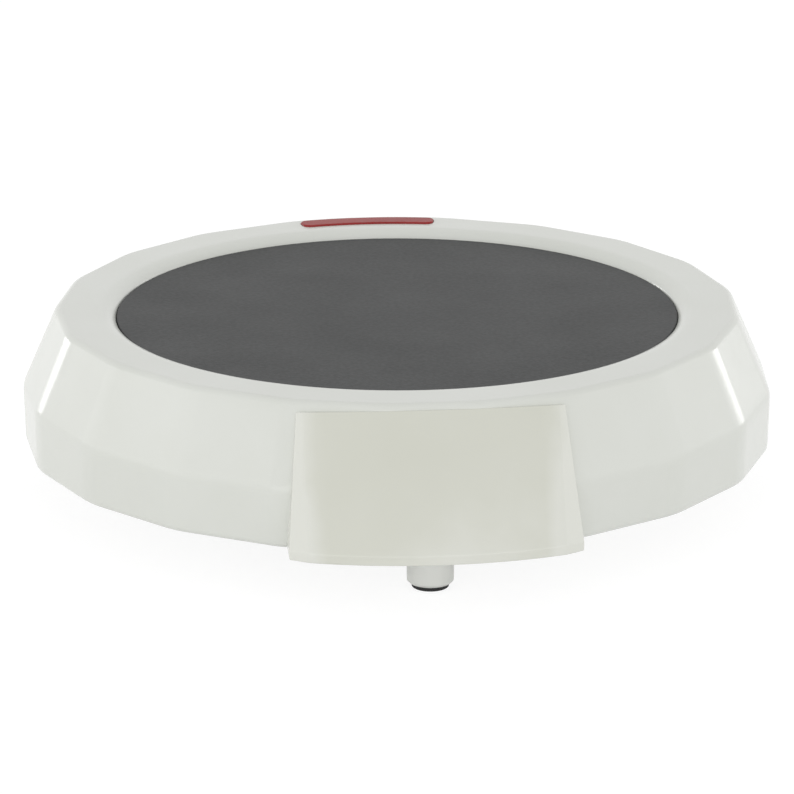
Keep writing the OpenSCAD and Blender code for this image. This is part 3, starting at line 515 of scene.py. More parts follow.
class BlownGlass(GrainedFinish):
    """The lamp's glass: pale, warm and slightly wavy."""

    spread = (0.35, 0.65)
    shade = Grain(3.0, 2.0)
    relief = Grain(2.0, 1.0)
    relief_mm = 0.01
    sockets = {"IOR": 1.5, "Transmission Weight": 0.6}


class SprayedCoating(TwoTone):
    """A dark sprayed coating with a fine pebble and paler specks."""

    spread = (0.32, 0.68)
    specks = Grain(0.765, 6.0)
    patches = Grain(18.0, 4.0)
    pebble_mm = 0.45
    pebble_depth_mm = 0.014
    sockets = {"Specular IOR Level": 0.15}

    def draw(self, sheet: NodeSheet) -> None:
        """Draws the specks, the gloss and the pebble.

        Args:
            sheet: The material's nodes.
        """
        sheet.paint(sheet.noise(self.specks), self.stops())
        sheet.roughen(sheet.noise(self.patches), self.roughness)
        sheet.emboss(sheet.cells(self.pebble_mm).outputs["Distance"], self.pebble_depth_mm)
        sheet.settle(self.sockets)


class PressedFlakes(TwoTone):
    """Mica sheet: overlapping pressed flakes with a silky gloss."""

    spread = (0.2, 0.8)
    flake_mm = 3.5
    flake_lay = (1, 1, 0.2)
    flake_depth_mm = 0.03

    def draw(self, sheet: NodeSheet) -> None:
        """Draws the flakes.

        Args:
            sheet: The material's nodes.
        """
        flakes = sheet.cells(self.flake_mm, self.flake_lay)
        sheet.paint(flakes.outputs["Color"], self.stops())
        sheet.roughen(flakes.outputs["Distance"], self.roughness)
        sheet.emboss(flakes.outputs["Distance"], self.flake_depth_mm)


class WovenBraid(TwoTone):
    """A glass-fibre sleeve: two sets of slanting strands."""

    spread = (0.2, 0.9)
    pitch_mm = 0.9
    turns = ((0, 0, 45), (0, 0, -45))
    wobble = 0.6
    depth_mm = 0.08

    def draw(self, sheet: NodeSheet) -> None:
        """Draws the strands.

        Args:
            sheet: The material's nodes.
        """
        strands = [sheet.waves(self.pitch_mm, turn, self.wobble) for turn in self.turns]
        weave = combine(sheet.tree, Sum.LARGER, *strands)
        sheet.paint(weave, self.stops())
        sheet.roughen(weave, self.roughness)
        sheet.emboss(weave, self.depth_mm)


@dataclass(frozen=True)
class BandedLacquer(Finish):
    """The resistor's lacquer with its colour bands, which follow the height between its ends."""

    body: Rgb
    bands: tuple[Rgb, ...]
    ends_m: Point2
    roughness: Point2
    first: ClassVar[float] = 0.36
    pitch: ClassVar[float] = 0.1
    width: ClassVar[float] = 0.05
    patches: ClassVar[Grain] = Grain(1.5, 3.0)
    skin: ClassVar[Grain] = Grain(0.8, 2.0)
    skin_depth_mm: ClassVar[float] = 0.01

    def draw(self, sheet: NodeSheet) -> None:
        """Draws the bands, the gloss and the skin.

        Args:
            sheet: The material's nodes.
        """
        stops = [(0.0, screen(*self.body))]
        for index, colour in enumerate(self.bands):
            start = self.first + self.pitch * index
            stops += [(start, screen(*colour)), (start + self.width, screen(*self.body))]
        sheet.paint(sheet.rescale(sheet.axes().outputs["Z"], self.ends_m, (0.0, 1.0)), stops, stepped=True)
        sheet.roughen(sheet.noise(self.patches), self.roughness)
        sheet.emboss(sheet.noise(self.skin), self.skin_depth_mm)


class Palette:
    """Every finish of the warmer, made once and found by its slot."""

    def __init__(self) -> None:
        """Makes the materials."""
        low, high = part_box("lamp_resistor")
        bands = ((110, 60, 30), (30, 30, 30), (210, 190, 60), (180, 140, 60))
        across, along, turned = (1, 6, 6), (6, 1, 6), (5, 5, 1)
        finishes = {
            Slot.HOUSING: MouldedPlastic("housing_gloss_white", (226, 228, 222), (222, 224, 217),
                                         (0.16, 0.26)),
            # The panel's colour paints light: paler towards its sides and its foot.
            Slot.PANEL: PaintedLightPlastic("panel_cream_painted_light", (218, 219, 208), (214, 215, 203), (0.17, 0.26),
                                         pale=(228, 229, 221)),
            Slot.BASE: MouldedPlastic("base_satin_white", (241, 242, 238), (237, 238, 233), (0.36, 0.5)),
            Slot.GLAND: MouldedPlastic("gland_satin_white", (216, 217, 211), (211, 212, 205), (0.38, 0.52)),
            Slot.INNER: MouldedPlastic("inner_plain_white", (226, 226, 220), (219, 219, 212), (0.4, 0.55)),
            Slot.FOOT: MouldedRubber("foot_black_rubber", (36, 35, 35), (20, 20, 20), (0.6, 0.85)),
            Slot.GASKET: MouldedRubber("gasket_grey_silicone", (192, 192, 186), (182, 182, 175), (0.6, 0.85)),
            Slot.BLACK_WIRE: MouldedRubber("wire_black_silicone", (46, 46, 46), (34, 34, 34), (0.4, 0.55)),
            Slot.WHITE_WIRE: MouldedRubber("wire_white_silicone", (232, 232, 228), (222, 222, 216),
                                           (0.4, 0.55)),
            Slot.LENS: TintedPlastic("lens_clear_red", (161, 55, 54), (144, 43, 42), (0.3, 0.42)),
            Slot.PLATE: SprayedCoating("plate_dark_coating", (70, 71, 71), (58, 59, 59), (0.42, 0.56)),
            Slot.MICA: PressedFlakes("mica_pressed_flakes", (192, 170, 138), (166, 142, 108), (0.3, 0.5)),
            Slot.CERAMIC: FiredCeramic("ceramic_unglazed", (236, 231, 218), (196, 188, 170), (0.55, 0.75)),
            Slot.FIBRE: FibreFelt("fibre_felt", (232, 227, 216), (208, 202, 188), (0.9, 1.0)),
            Slot.BRAID: WovenBraid("glass_braid", (236, 232, 222), (198, 192, 178), (0.85, 0.6)),
            Slot.LAMP: BlownGlass("lamp_glass", (244, 200, 170), (230, 170, 130), (0.04, 0.1)),
            Slot.ZINC: WorkedMetal("zinc_plate", (202, 205, 206), (180, 184, 188), (0.3, 0.48), across),
            Slot.ELEMENT: WorkedMetal("resistance_alloy", (168, 166, 164), (142, 138, 134), (0.35, 0.5),
                                      along),
            Slot.FUSE: WorkedMetal("fuse_plated_case", (208, 200, 170), (190, 180, 146), (0.29, 0.42), along),
            Slot.TINNED: WorkedMetal("tinned_sleeve", (212, 212, 212), (190, 190, 192), (0.3, 0.45)),
            Slot.BRASS: WorkedMetal("turned_brass", (206, 174, 96), (182, 146, 66), (0.28, 0.42), turned),
            Slot.RESISTOR: BandedLacquer("resistor_lacquer", (200, 182, 138), bands, (low.z, high.z),
                                         (0.3, 0.5)),
        }
        self.materials: dict[Slot, bpy.types.Material] = {
            slot: finish.material() for slot, finish in finishes.items()
        }

    def dress(self, piece: bpy.types.Object, slot: Slot) -> None:
        """Gives a piece the finish of a slot."""
        piece.data.materials.clear()
        piece.data.materials.append(self.materials[slot])


class Form:
    """A bmesh in millimetres that operators shape."""

    def __init__(self, source: bpy.types.Mesh | None = None) -> None:
        """Starts empty, or from a mesh that is in millimetres already.

        Args:
            source: The mesh to copy.
        """
        self.bm = bmesh.new()
        if source is not None:
            self.bm.from_mesh(source)

    def chain(self, points: Iterable[Point3], closed: bool = False) -> Geometry:
        """Adds vertices joined in a line.

        Args:
            points: Their places.
            closed: Whether the line ends where it starts.

        Returns:
            The new vertices and edges.
        """
        verts = [self.bm.verts.new(point) for point in points]
        pairs = list(zip(verts, verts[1:])) + ([(verts[-1], verts[0])] if closed else [])
        return verts + [self.bm.edges.new(pair) for pair in pairs]

    def fill(self, outline: Geometry) -> Geometry:
        """Closes an outline with a face."""
        return bmesh.ops.contextual_create(self.bm, geom=outline)["faces"]

    def spin(self, geometry: Geometry, angle: float, steps: int, axis: Vector = UP,
             centre: Point3 = (0, 0, 0), full: bool = False) -> Geometry:
        """Turns geometry about an axis.

        Args:
            geometry: What is turned.
            angle: Angle in degrees.
            steps: Copies along the turn.
            axis: Direction of the axis.
            centre: A point on the axis.
            full: Whether the turn closes on itself.

        Returns:
            The geometry at the end of the turn.
        """
        made = bmesh.ops.spin(self.bm, geom=geometry, cent=centre, axis=axis, angle=math.radians(angle),
                              steps=steps, use_merge=full)
        return made["geom_last"]

    def revolve(self, profile: Sequence[Point2], sides: Sides) -> None:
        """Makes a closed body of revolution about Z.

        Args:
            profile: Points as (radius, height), in order, from the axis to the axis or all the way round.
            sides: How many sides it has.
        """
        closed = min(profile[0][0], profile[-1][0]) > WELD
        line = self.chain([(0.0, -radius, z) for radius, z in profile], closed)
        self.spin(line, 360, sides.value, full=True)
        self.weld()
        self.face_out()

    def weld(self) -> None:
        """Merges vertices that lie together."""
        bmesh.ops.remove_doubles(self.bm, verts=self.bm.verts, dist=WELD)

    def face_out(self) -> None:
        """Turns every face outwards."""
        bmesh.ops.recalc_face_normals(self.bm, faces=self.bm.faces)

    def draw_out(self, faces: Geometry, along: Vector, keep: bool = True) -> None:
        """Draws faces out along a direction.

        Args:
            faces: The faces.
            along: From the faces to their copies at the far end.
            keep: Whether the faces stay at the near end.
        """
        made = bmesh.ops.extrude_face_region(self.bm, geom=faces)["geom"]
        if not keep:
            bmesh.ops.delete(self.bm, geom=faces, context="FACES_ONLY")
        moved = [item for item in made if isinstance(item, bmesh.types.BMVert)]
        bmesh.ops.translate(self.bm, vec=along, verts=moved)
        self.face_out()

    def prism(self, outline: Sequence[Point3], along: Vector) -> None:
        """Makes a closed prism.

        Args:
            outline: Corners of a flat outline, in order.
            along: From that outline to its copy at the far end.
        """
        self.draw_out(self.fill(self.chain(outline, True)), along)

    def slice(self, point: Point3, normal: Vector) -> None:
        """Cuts away what lies on a plane's far side, and closes the cut.

        Args:
            point: A point of the plane.
            normal: Towards the side that goes.
        """
        whole = list(self.bm.verts) + list(self.bm.edges) + list(self.bm.faces)
        made = bmesh.ops.bisect_plane(self.bm, geom=whole, dist=WELD, plane_co=point, plane_no=normal,
                                      clear_outer=True)
        rim = [item for item in made["geom_cut"] if isinstance(item, bmesh.types.BMEdge)]
        bmesh.ops.edgeloop_fill(self.bm, edges=rim)
        self.face_out()

    def move(self, matrix: Matrix) -> None:
        """Transforms the whole form."""
        bmesh.ops.transform(self.bm, matrix=matrix, verts=self.bm.verts)

    def soften(self, wanted: EdgeTest, width: float, arc: Arc, flat: float = 1.0) -> None:
        """Rounds the edges that a test picks.

        Args:
            wanted: The test.
            width: How far each rounding reaches into its faces.
            arc: How many faces it has across it.
            flat: How many times a rounding is wider than it is deep.
        """
        edges = [edge for edge in self.bm.edges if wanted(edge)]
        self.move(Matrix.Scale(flat, 4, UP))
        bmesh.ops.bevel(self.bm, geom=edges, offset=width, offset_type="OFFSET", segments=arc.value,
                        profile=0.5, affect="EDGES", clamp_overlap=True, material=-1)
        self.move(Matrix.Scale(1 / flat, 4, UP))

    def mesh(self, name: str) -> bpy.types.Mesh:
        """The form as a mesh, still in millimetres, which ends the bmesh.

        Args:
            name: The mesh's name.

        Returns:
            The mesh.
        """
        made = bpy.data.meshes.new(name)
        self.bm.to_mesh(made)
        self.bm.free()
        return made

    def carve(self, other: "Form", how: Carving) -> "Form":
        """Cuts another closed form away, or joins it on.

        Args:
            other: The other form, which is used up.
            how: Whether it is cut or joined.

        Returns:
            The result, which replaces this form.
        """
        pair = []
        for name, form in (("carved", self), ("tool", other)):
            body = bpy.data.objects.new(name, form.mesh(name))
            bpy.context.scene.collection.objects.link(body)
            pair.append(body)
        carved, tool = pair
        step = carved.modifiers.new("carve", "BOOLEAN")
        step.operation = how.value
        step.solver = "EXACT"
        step.object = tool
        scope = bpy.context.evaluated_depsgraph_get()
        result = bpy.data.meshes.new_from_object(carved.evaluated_get(scope), depsgraph=scope)
        made = Form(result)
        made.weld()
        for mesh in [result] + [body.data for body in pair]:
            bpy.data.meshes.remove(mesh)
        return made


def turn_of(edge: bmesh.types.BMEdge) -> float:
    """Angle between the two faces at an edge in degrees, or 0 on an open edge."""
    return math.degrees(edge.calc_face_angle(0.0))


def reach(vert: bmesh.types.BMVert) -> float:
    """Distance of a vertex from the axis of the plate."""
    return vert.co.xy.length


def rise_of(edge: bmesh.types.BMEdge) -> float:
    """Height of one end of an edge above the other."""
    start, end = edge.verts
    return abs(start.co.z - end.co.z)


def level(edge: bmesh.types.BMEdge, z: float) -> bool:
    """Whether both ends of an edge lie at a height."""
    return all(abs(vert.co.z - z) < WELD for vert in edge.verts)


def outer_corner(edge: bmesh.types.BMEdge) -> bool:
    """Whether an edge is a sharp corner that points outwards."""
    return edge.is_convex and turn_of(edge) > CORNER_BEND


def standing_end(edge: bmesh.types.BMEdge) -> bool:
    """Whether an edge stands upright at a corner."""
    start, end = (vert.co for vert in edge.verts)
    return (start - end).xy.length < WELD and turn_of(edge) > CORNER_BEND


def at_bearing(bearing: float, circle: float) -> Matrix:
    """Carries what stands on the axis out to a bearing on a circle."""
    return Matrix.Rotation(math.radians(bearing), 4, "Z") @ Matrix.Translation((0, -circle, 0))


def rod(radius: float, start: Vector, along: Vector, sides: Sides = Sides.SMALL) -> Form:
    """A closed cylinder.

    Args:
        radius: Its radius.
        start: Middle of one end.
        along: From that end to the other.
        sides: How many sides it has.

    Returns:
        The form.
    """
    form = Form()
    place = Matrix.Translation(start + along / 2) @ along.to_track_quat("Z", "Y").to_matrix().to_4x4()
    bmesh.ops.create_cone(form.bm, cap_ends=True, segments=sides.value, radius1=radius, radius2=radius,
                          depth=along.length, matrix=place)
    return form


def bent_block(inner: float, outer: float, half: float, low: float, high: float, steps: int = 14) -> Form:
    """A block bent round the axis and centred on the rear.

    Args:
        inner: Inner radius.
        outer: Outer radius.
        half: Half of its angle in degrees.
        low: Height of its underside.
        high: Height of its top.
        steps: Faces along its bend.

    Returns:
        The form.
    """
    form = Form()
    turn = Matrix.Rotation(math.radians(-half), 3, "Z")
    corners = [(inner, low), (outer, low), (outer, high), (inner, high)]
    outline = form.chain([turn @ Vector((0.0, radius, z)) for radius, z in corners], True)
    form.spin(outline + form.fill(outline), 2 * half, steps)
    form.weld()
    form.face_out()
    return form


@dataclass
class Assembly:
    """What the sub-assemblies share: they finish pieces and dress CAD nodes."""

    palette: Palette

    def finish(self, form: Form, name: str, slot: Slot, nodes: Sequence[str], sharp: float = 40.0,
               edge_mm: float = 0.0) -> None:
        """Turns a form into a piece in metres that stands for CAD nodes.

        Args:
            form: The form, which is used up.
            name: The piece's name.
            slot: The slot of its finish.
            nodes: The nodes that it stands for.
            sharp: Angle in degrees past which an edge stays sharp.
            edge_mm: Width of the rounding on those edges, or 0 for none.
        """
        form.move(Matrix.Scale(MM, 4))
        mesh = form.mesh(name)
        mesh.shade_smooth()
        piece = bpy.data.objects.new(name, mesh)
        bpy.context.scene.collection.objects.link(piece)
        self.smooth(piece, sharp, edge_mm)
        self.palette.dress(piece, slot)
        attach(piece, Body.ROOT.value)
        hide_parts(*nodes)
        LOG.info("%s: %d faces", name, len(mesh.polygons))

    @staticmethod
    def smooth(piece: bpy.types.Object, sharp: float, edge_mm: float) -> None:
        """Rounds a piece's sharp edges and keeps its flat faces flat.

        Args:
            piece: The piece.
            sharp: Angle in degrees past which an edge is rounded.
            edge_mm: Width of the rounding, or 0 for none.
        """
        if edge_mm > 0:
            edges = piece.modifiers.new("edges", "BEVEL")
            edges.limit_method = "ANGLE"
            edges.angle_limit = math.radians(sharp)
            edges.width = edge_mm * MM
            edges.segments = 2
            edges.profile = 0.5
            edges.use_clamp_overlap = True
            edges.miter_outer = "MITER_ARC"
        else:
            piece.data.set_sharp_from_angle(angle=math.radians(sharp))
        flat = piece.modifiers.new("flat", "WEIGHTED_NORMAL")
        flat.keep_sharp = True
        flat.weight = 100


@dataclass
class FacetPlan:
    """The facets round the housing, as sectors of (angle, facets), from the panel's left side on."""

    sectors: tuple[tuple[float, int], ...] = ((45.0, 3), (144.0, 8), (27.0, 3), (144.0, 8))
    start: float = -22.5

    @property
    def widest(self) -> float:
        """Angle of the widest facet in degrees."""
        return max(angle / facets for angle, facets in self.sectors)

    def ring(self, form: Form, profile: Sequence[Point2]) -> None:
        """Turns an open profile round the axis in flat facets.

        Args:
            form: The form that gets the walls.
            profile: Corners as (radius, height).
        """
        turn = Matrix.Rotation(math.radians(self.start), 3, "Z")
        line = form.chain([turn @ Vector((0.0, -radius, z)) for radius, z in profile])
        for angle, facets in self.sectors:
            line = form.spin(line, angle, facets)
        form.weld()


@dataclass(frozen=True)
class BossRow:
    """Screw bosses of one kind, on a circle about the axis, each with a blind bore from below."""

    bearings: tuple[float, ...]
    circle: float
    radius: float
    bore: float
    low_z: float
    blind_z: float

    def build(self, top_z: float) -> list[Form]:
        """Makes the bosses.

        Args:
            top_z: Height of their upper ends.

        Returns:
            A form for each boss.
        """
        made = []
        for bearing in self.bearings:
            form = Form()
            form.revolve([
                (0, top_z), (self.radius, top_z), (self.radius, self.low_z),
                (self.bore, self.low_z), (self.bore, self.blind_z), (0, self.blind_z),
            ], Sides.BOSS)
            form.move(at_bearing(bearing, self.circle))
            made.append(form)
        return made


@dataclass
class Housing(Assembly):
    """The white top shell and the bosses under its deck: for the feet, the bracket and the lamp's holder."""

    plan: FacetPlan
    mouth_r: float = 52.25
    mouth_round: float = 3.4
    mouth_drop: float = 2.3
    deck_r: float = 63.6
    belt_r: float = 70.0
    belt_draft: float = 0.3
    belt_z: float = 9.5
    knuckle_z: float = 20.3
    deck_z: float = 35.0
    deck_t: float = 2.5
    wall: float = 2.4
    corner_round: float = 2.6
    edge_round: float = 1.0
    even: float = 0.14
    lens_slot: Point3 = (57.28, 61.5, 12.7)
    lens_round: float = 1.5
    gland_hole: Point2 = (3.8, 16.0)
    bosses: tuple[BossRow, ...] = (
        BossRow((0, 120, 240), 59.5, 3.2, 1.53, 11.5, 23.0),
        BossRow((30, 150, 270), 58.5, 3.0, 1.53, 26.2, 31.4),
        BossRow((162, 198), 59.3, 3.0, 1.13, 27.0, 30.7),
    )

    @property
    def slope(self) -> float:
        """Lean of the sloping side in radians."""
        return math.atan((self.belt_r - self.deck_r) / (self.deck_z - self.knuckle_z))

    def shell(self) -> Form:
        """The faceted shell with a closed deck, before anything is cut into it.

        Returns:
            The form.
        """
        under_z = self.deck_z - self.deck_t
        inner_top = self.deck_r + self.deck_t * math.tan(self.slope) - self.wall / math.cos(self.slope)
        foot = (self.belt_r - self.belt_draft, self.belt_z)
        knuckle = (self.belt_r, self.knuckle_z)
        rim = (self.deck_r, self.deck_z)
        form = Form()
        self.plan.ring(form, [
            (inner_top, under_z),
            (self.belt_r - self.wall, self.knuckle_z - self.wall * math.tan(self.slope / 2)),
            (self.belt_r - self.belt_draft - self.wall, self.belt_z),
            foot, *self.between(foot, knuckle), knuckle, *self.between(knuckle, rim), rim,
        ])
        for z in (self.deck_z, under_z):
            opening = [edge for edge in form.bm.edges if edge.is_boundary and level(edge, z)]
            bmesh.ops.edgeloop_fill(form.bm, edges=opening)
        form.face_out()
        return form

    def between(self, start: Point2, end: Point2) -> list[Point2]:
        """Points near both ends of a straight side, which keep the shine along its corners even.

        Args:
            start: The side's lower end as (radius, height).
            end: Its upper end.

        Returns:
            The two points.
        """
        first, last = Vector(start), Vector(end)
        return [tuple(first.lerp(last, share)) for share in (self.even, 1 - self.even)]

    def skin_r(self, z: float) -> float:
        """Least radius of the outside at a height."""
        lean = max(0.0, z - self.knuckle_z) * math.tan(self.slope)
        return (self.belt_r - self.belt_draft - lean) * math.cos(math.radians(self.plan.widest / 2))

    def on_skin(self, vert: bmesh.types.BMVert) -> bool:
        """Whether a vertex lies outside, between the belt's foot and the deck's rim.

        Args:
            vert: The vertex.

        Returns:
            Whether it does.
        """
        if vert.co.z > self.deck_z - WELD:
            return reach(vert) > (self.mouth_r + self.deck_r) / 2
        return reach(vert) > self.skin_r(vert.co.z) - self.wall / 2

    def corner_edge(self, edge: bmesh.types.BMEdge) -> bool:
        """Whether an edge is a corner between two facets outside."""
        return rise_of(edge) > WELD and all(self.on_skin(vert) for vert in edge.verts)

    def rail_edge(self, edge: bmesh.types.BMEdge) -> bool:
        """Whether an edge runs round the outside, along the belt's foot, its top or the deck's rim."""
        outside = all(self.on_skin(vert) for vert in edge.verts)
        return outside and rise_of(edge) < WELD and turn_of(edge) > FAINT_BEND

    def lip_edge(self, edge: bmesh.types.BMEdge) -> bool:
        """Whether an edge is the mouth's upper edge."""
        at_mouth = all(abs(reach(vert) - self.mouth_r) < NEAR for vert in edge.verts)
        return at_mouth and level(edge, self.deck_z)

    def mouth_cutter(self) -> Form:
        """The rod that opens the deck for the plate."""
        start = Vector((0, 0, self.deck_z - 2 * self.deck_t))
        return rod(self.mouth_r, start, 4 * self.deck_t * UP, Sides.LARGE)

    def lens_cutter(self) -> Form:
        """The bent block that opens the deck for the lens.

        Returns:
            The form, with rounded ends.
        """
        inner, outer, half = self.lens_slot
        form = bent_block(inner, outer, half, self.deck_z - 2 * self.deck_t, self.deck_z + self.deck_t)
        form.soften(standing_end, self.lens_round, Arc.ENDS)
        return form

    def gland_cutter(self) -> Form:
        """The rod that opens the belt for the cord gland."""
        radius, z = self.gland_hole
        return rod(radius, Vector((0, self.belt_r - 2 * self.wall, z)), 4 * self.wall * REARWARD)

    def build(self, notch: Form) -> None:
        """Builds the shell.

        Args:
            notch: What the front panel takes out of it.
        """
        form = self.shell()
        form.soften(self.corner_edge, self.corner_round, Arc.FINE)
        form.soften(self.rail_edge, self.edge_round, Arc.PLAIN)
        form = form.carve(self.mouth_cutter(), Carving.CUT)
        form.soften(self.lip_edge, self.mouth_round, Arc.FINE, self.mouth_round / self.mouth_drop)
        for row in self.bosses:
            for boss in row.build(self.deck_z - self.deck_t / 2):
                form = form.carve(boss, Carving.JOIN)
        for cutter in (notch, self.lens_cutter(), self.gland_cutter()):
            form = form.carve(cutter, Carving.CUT)
        self.finish(form, "housing_shell", Slot.HOUSING, ["upper_housing"], sharp=50.0, edge_mm=0.05)


@dataclass
class FrontPanel(Assembly):
    """The wedge-shaped panel in the front of the housing, with a bowed face that is left bare."""

    top_y: float = 63.88
    top_z: float = 34.0
    foot_y: float = 76.29
    lip_z: float = 11.2
    lip_h: float = 1.7
    top_w: float = 47.5
    bottom_w: float = 52.0
    tilt: float = 12.0
    face_r: float = 84.0
    face_sweep: float = 44.0
    face_steps: int = 36
    bevel_w: float = 3.4
    bevel_angle: float = 28.0
    wall: float = 2.0
    back_y: float = 58.5
    open_back: float = 6.0
    # Below zero, the panel's edges lie inside the housing's notch and its seam stays closed.
    gap: float = -0.04
    notch_back: float = 2.4
    notch_front: float = 30.0
    hook_y: float = 61.5
    hook_z: float = 15.3
    hook_h: float = 5.0
    hook: float = 1.0
    post_hole_r: float = 3.5
    post_hole_from: Point3 = (0, -59.5, 10.5)
    post_hole_h: float = 26.0
    seam_round: float = 0.12
    edge_round: float = 0.35

    @property
    def height(self) -> float:
        """Height of the panel with its lip."""
        return self.top_z - self.lip_z + self.lip_h

    @property
    def lean(self) -> float:
        """Lean of the face in radians."""
        return math.atan((self.foot_y - self.top_y) / (self.top_z - self.lip_z))

    @property
    def tilted(self) -> Matrix:
        """Turns and places the planes of the sides and the upper edge."""
        place = Matrix.Translation((0, -self.top_y, self.top_z))
        return place @ Matrix.Rotation(math.radians(-self.tilt), 4, "X")

    def side_normal(self, side: int) -> Vector:
        """Outward direction of one side of the wedge: 1 for the right and -1 for the left."""
        spread = (self.bottom_w - self.top_w) / 2 / self.height
        return (self.tilted.to_3x3() @ Vector((side, 0, spread))).normalized()

    def half_w(self, z: float) -> float:
        """Half of the panel's width at a height."""
        share = (self.top_z - z) / self.height
        return (self.top_w + (self.bottom_w - self.top_w) * share) / 2

    def block(self, inset: float, back_y: float) -> Form:
        """The closed wedge above the lip, drawn in by an inset.

        Args:
            inset: How far it is drawn in.
            back_y: Depth of its rear plane.

        Returns:
            The form.
        """
        form = Form()
        up = Vector((0, math.sin(self.lean), math.cos(self.lean)))
        inward = Vector((0, math.cos(self.lean), -math.sin(self.lean)))
        foot = Vector((0, -self.foot_y, self.lip_z))
        rise = up * (3 * self.top_z)
        hub = foot + inward * self.face_r
        turn = Matrix.Rotation(math.radians(-self.face_sweep / 2), 3, up)
        start = form.bm.verts.new(hub + turn @ (-inward * (self.face_r - inset)) - rise)
        form.spin([start], self.face_sweep, self.face_steps, up, hub - rise)
        ends = [vert for vert in form.bm.verts if len(vert.link_edges) == 1]
        corners = [form.bm.verts.new(vert.co + inward * self.face_r / 2) for vert in ends]
        for vert, corner in zip(ends, corners):
            form.bm.edges.new((vert, corner))
        form.bm.edges.new(corners)
        form.draw_out(form.fill(list(form.bm.edges)), 2 * rise)
        self.trim(form, inset, back_y, foot, inward)
        return form

    def trim(self, form: Form, inset: float, back_y: float, foot: Vector, inward: Vector) -> None:
        """Cuts the bowed prism to the wedge.

        Args:
            form: The prism.
            inset: How far the planes are drawn in.
            back_y: Depth of the rear plane.
            foot: Middle of the face's lower edge.
            inward: Direction into the panel, square to its face.
        """
        start = self.bottom_w / 2 - self.bevel_w
        depth = self.face_r - math.sqrt(self.face_r ** 2 - start ** 2)
        angle = math.radians(self.bevel_angle)
        for side in (1, -1):
            normal = Vector((side * math.sin(angle), 0, 0)) - inward * math.cos(angle)
            form.slice(foot + inward * depth + Vector((side * start, 0, 0)) - normal * inset, normal)
            outward = self.side_normal(side)
            form.slice(self.tilted @ Vector((side * self.top_w / 2, 0, 0)) - outward * inset, outward)
        upward = self.tilted.to_3x3() @ UP
        form.slice(self.tilted.translation - upward * inset, upward)
        form.slice((0, -back_y, 0), REARWARD)
        form.slice((0, 0, self.lip_z), -UP)

    @staticmethod
    def drop_lip(form: Form, down: float) -> None:
        """Draws the underside of a wedge straight down to make the lip."""
        under = [face for face in form.bm.faces if face.normal.z < -0.999]
        form.draw_out(under, -UP * down, keep=False)

    def face_edge(self, edge: bmesh.types.BMEdge) -> bool:
        """Whether an edge of the wedge bounds its face, its bevels or its upper side."""
        behind = all(abs(vert.co.y + self.back_y) < WELD for vert in edge.verts)
        return turn_of(edge) > CLEAR_BEND and not behind and not level(edge, self.lip_z)

    def lip_edge(self, edge: bmesh.types.BMEdge) -> bool:
        """Whether an edge runs along the top or the foot of the lip.

        Args:
            edge: The edge.

        Returns:
            Whether it does.
        """
        behind = all(vert.co.y > -self.back_y - WELD for vert in edge.verts)
        low = all(vert.co.z < self.lip_z + WELD for vert in edge.verts)
        return low and rise_of(edge) < WELD and turn_of(edge) > CLEAR_BEND and not behind

    def hooks(self) -> list[Form]:
        """The two snap hooks behind the housing's wall.

        Returns:
            A form for each hook.
        """
        x = self.half_w(self.hook_z) - self.wall / 2
        outline = [(0.0, -self.hook_y), (self.wall / 2 + self.hook, -self.hook_y),
                   (self.wall / 2, -self.back_y), (0.0, -self.back_y)]
        made = []
        for side in (1, -1):
            form = Form()
            form.prism([(side * (x + across), y, self.hook_z) for across, y in outline], UP * self.hook_h)
            made.append(form)
        return made

    def notch(self) -> Form:
        """What the panel takes out of the housing, with its gap.

        Returns:
            The form.
        """
        form = Form()
        top = self.top_w / 2 + self.gap
        foot = top + (self.bottom_w - self.top_w)
        drop = 2 * self.height
        back = self.top_y - self.back_y + self.notch_back
        corners = [(-foot, -drop), (foot, -drop), (top, self.gap), (-top, self.gap)]
        form.prism([(x, -self.notch_front, z) for x, z in corners], (self.notch_front + 3 * back) * REARWARD)
        form.move(self.tilted)
        form.slice((0, self.notch_back - self.back_y, 0), REARWARD)
        return form

    def build(self) -> None:
        """Builds the panel, hollow behind, with its hooks and the room for the front post."""
        form = self.block(0.0, self.back_y)
        form.soften(self.face_edge, self.seam_round, Arc.COARSE)
        self.drop_lip(form, self.lip_h)
        form.soften(self.lip_edge, self.edge_round, Arc.PLAIN)
        cavity = self.block(self.wall, self.back_y - self.open_back)
        self.drop_lip(cavity, 2 * self.lip_h)
        form = form.carve(cavity, Carving.CUT)
        for hook in self.hooks():
            form = form.carve(hook, Carving.JOIN)
        post_hole = rod(self.post_hole_r, Vector(self.post_hole_from), self.post_hole_h * UP)
        form = form.carve(post_hole, Carving.CUT)
        self.finish(form, "panel_wedge", Slot.PANEL, ["front_panel"], edge_mm=0.1)


@dataclass
class HeatedPlate(Assembly):
    """The coated disc with its flange and stud."""

    face_z: float = 33.5
    face_r: float = 52.2
    face_round: float = 0.25
    flange_r: float = 55.4
    flange_z: float = 31.8
    under_z: float = 30.3
    stud_r: float = 2.5
    stud_z: float = 18.0

    def build(self) -> None:
        """Builds the disc and rounds its rim."""
        form = Form()
        form.revolve([
            (0, self.face_z), (self.face_r, self.face_z), (self.face_r, self.flange_z),
            (self.flange_r, self.flange_z), (self.flange_r, self.under_z), (self.stud_r, self.under_z),
            (self.stud_r, self.stud_z), (0, self.stud_z),
        ], Sides.LARGE)
        form.soften(outer_corner, self.face_round, Arc.PLAIN)
        self.finish(form, "plate_disc", Slot.PLATE, ["heating_plate"])


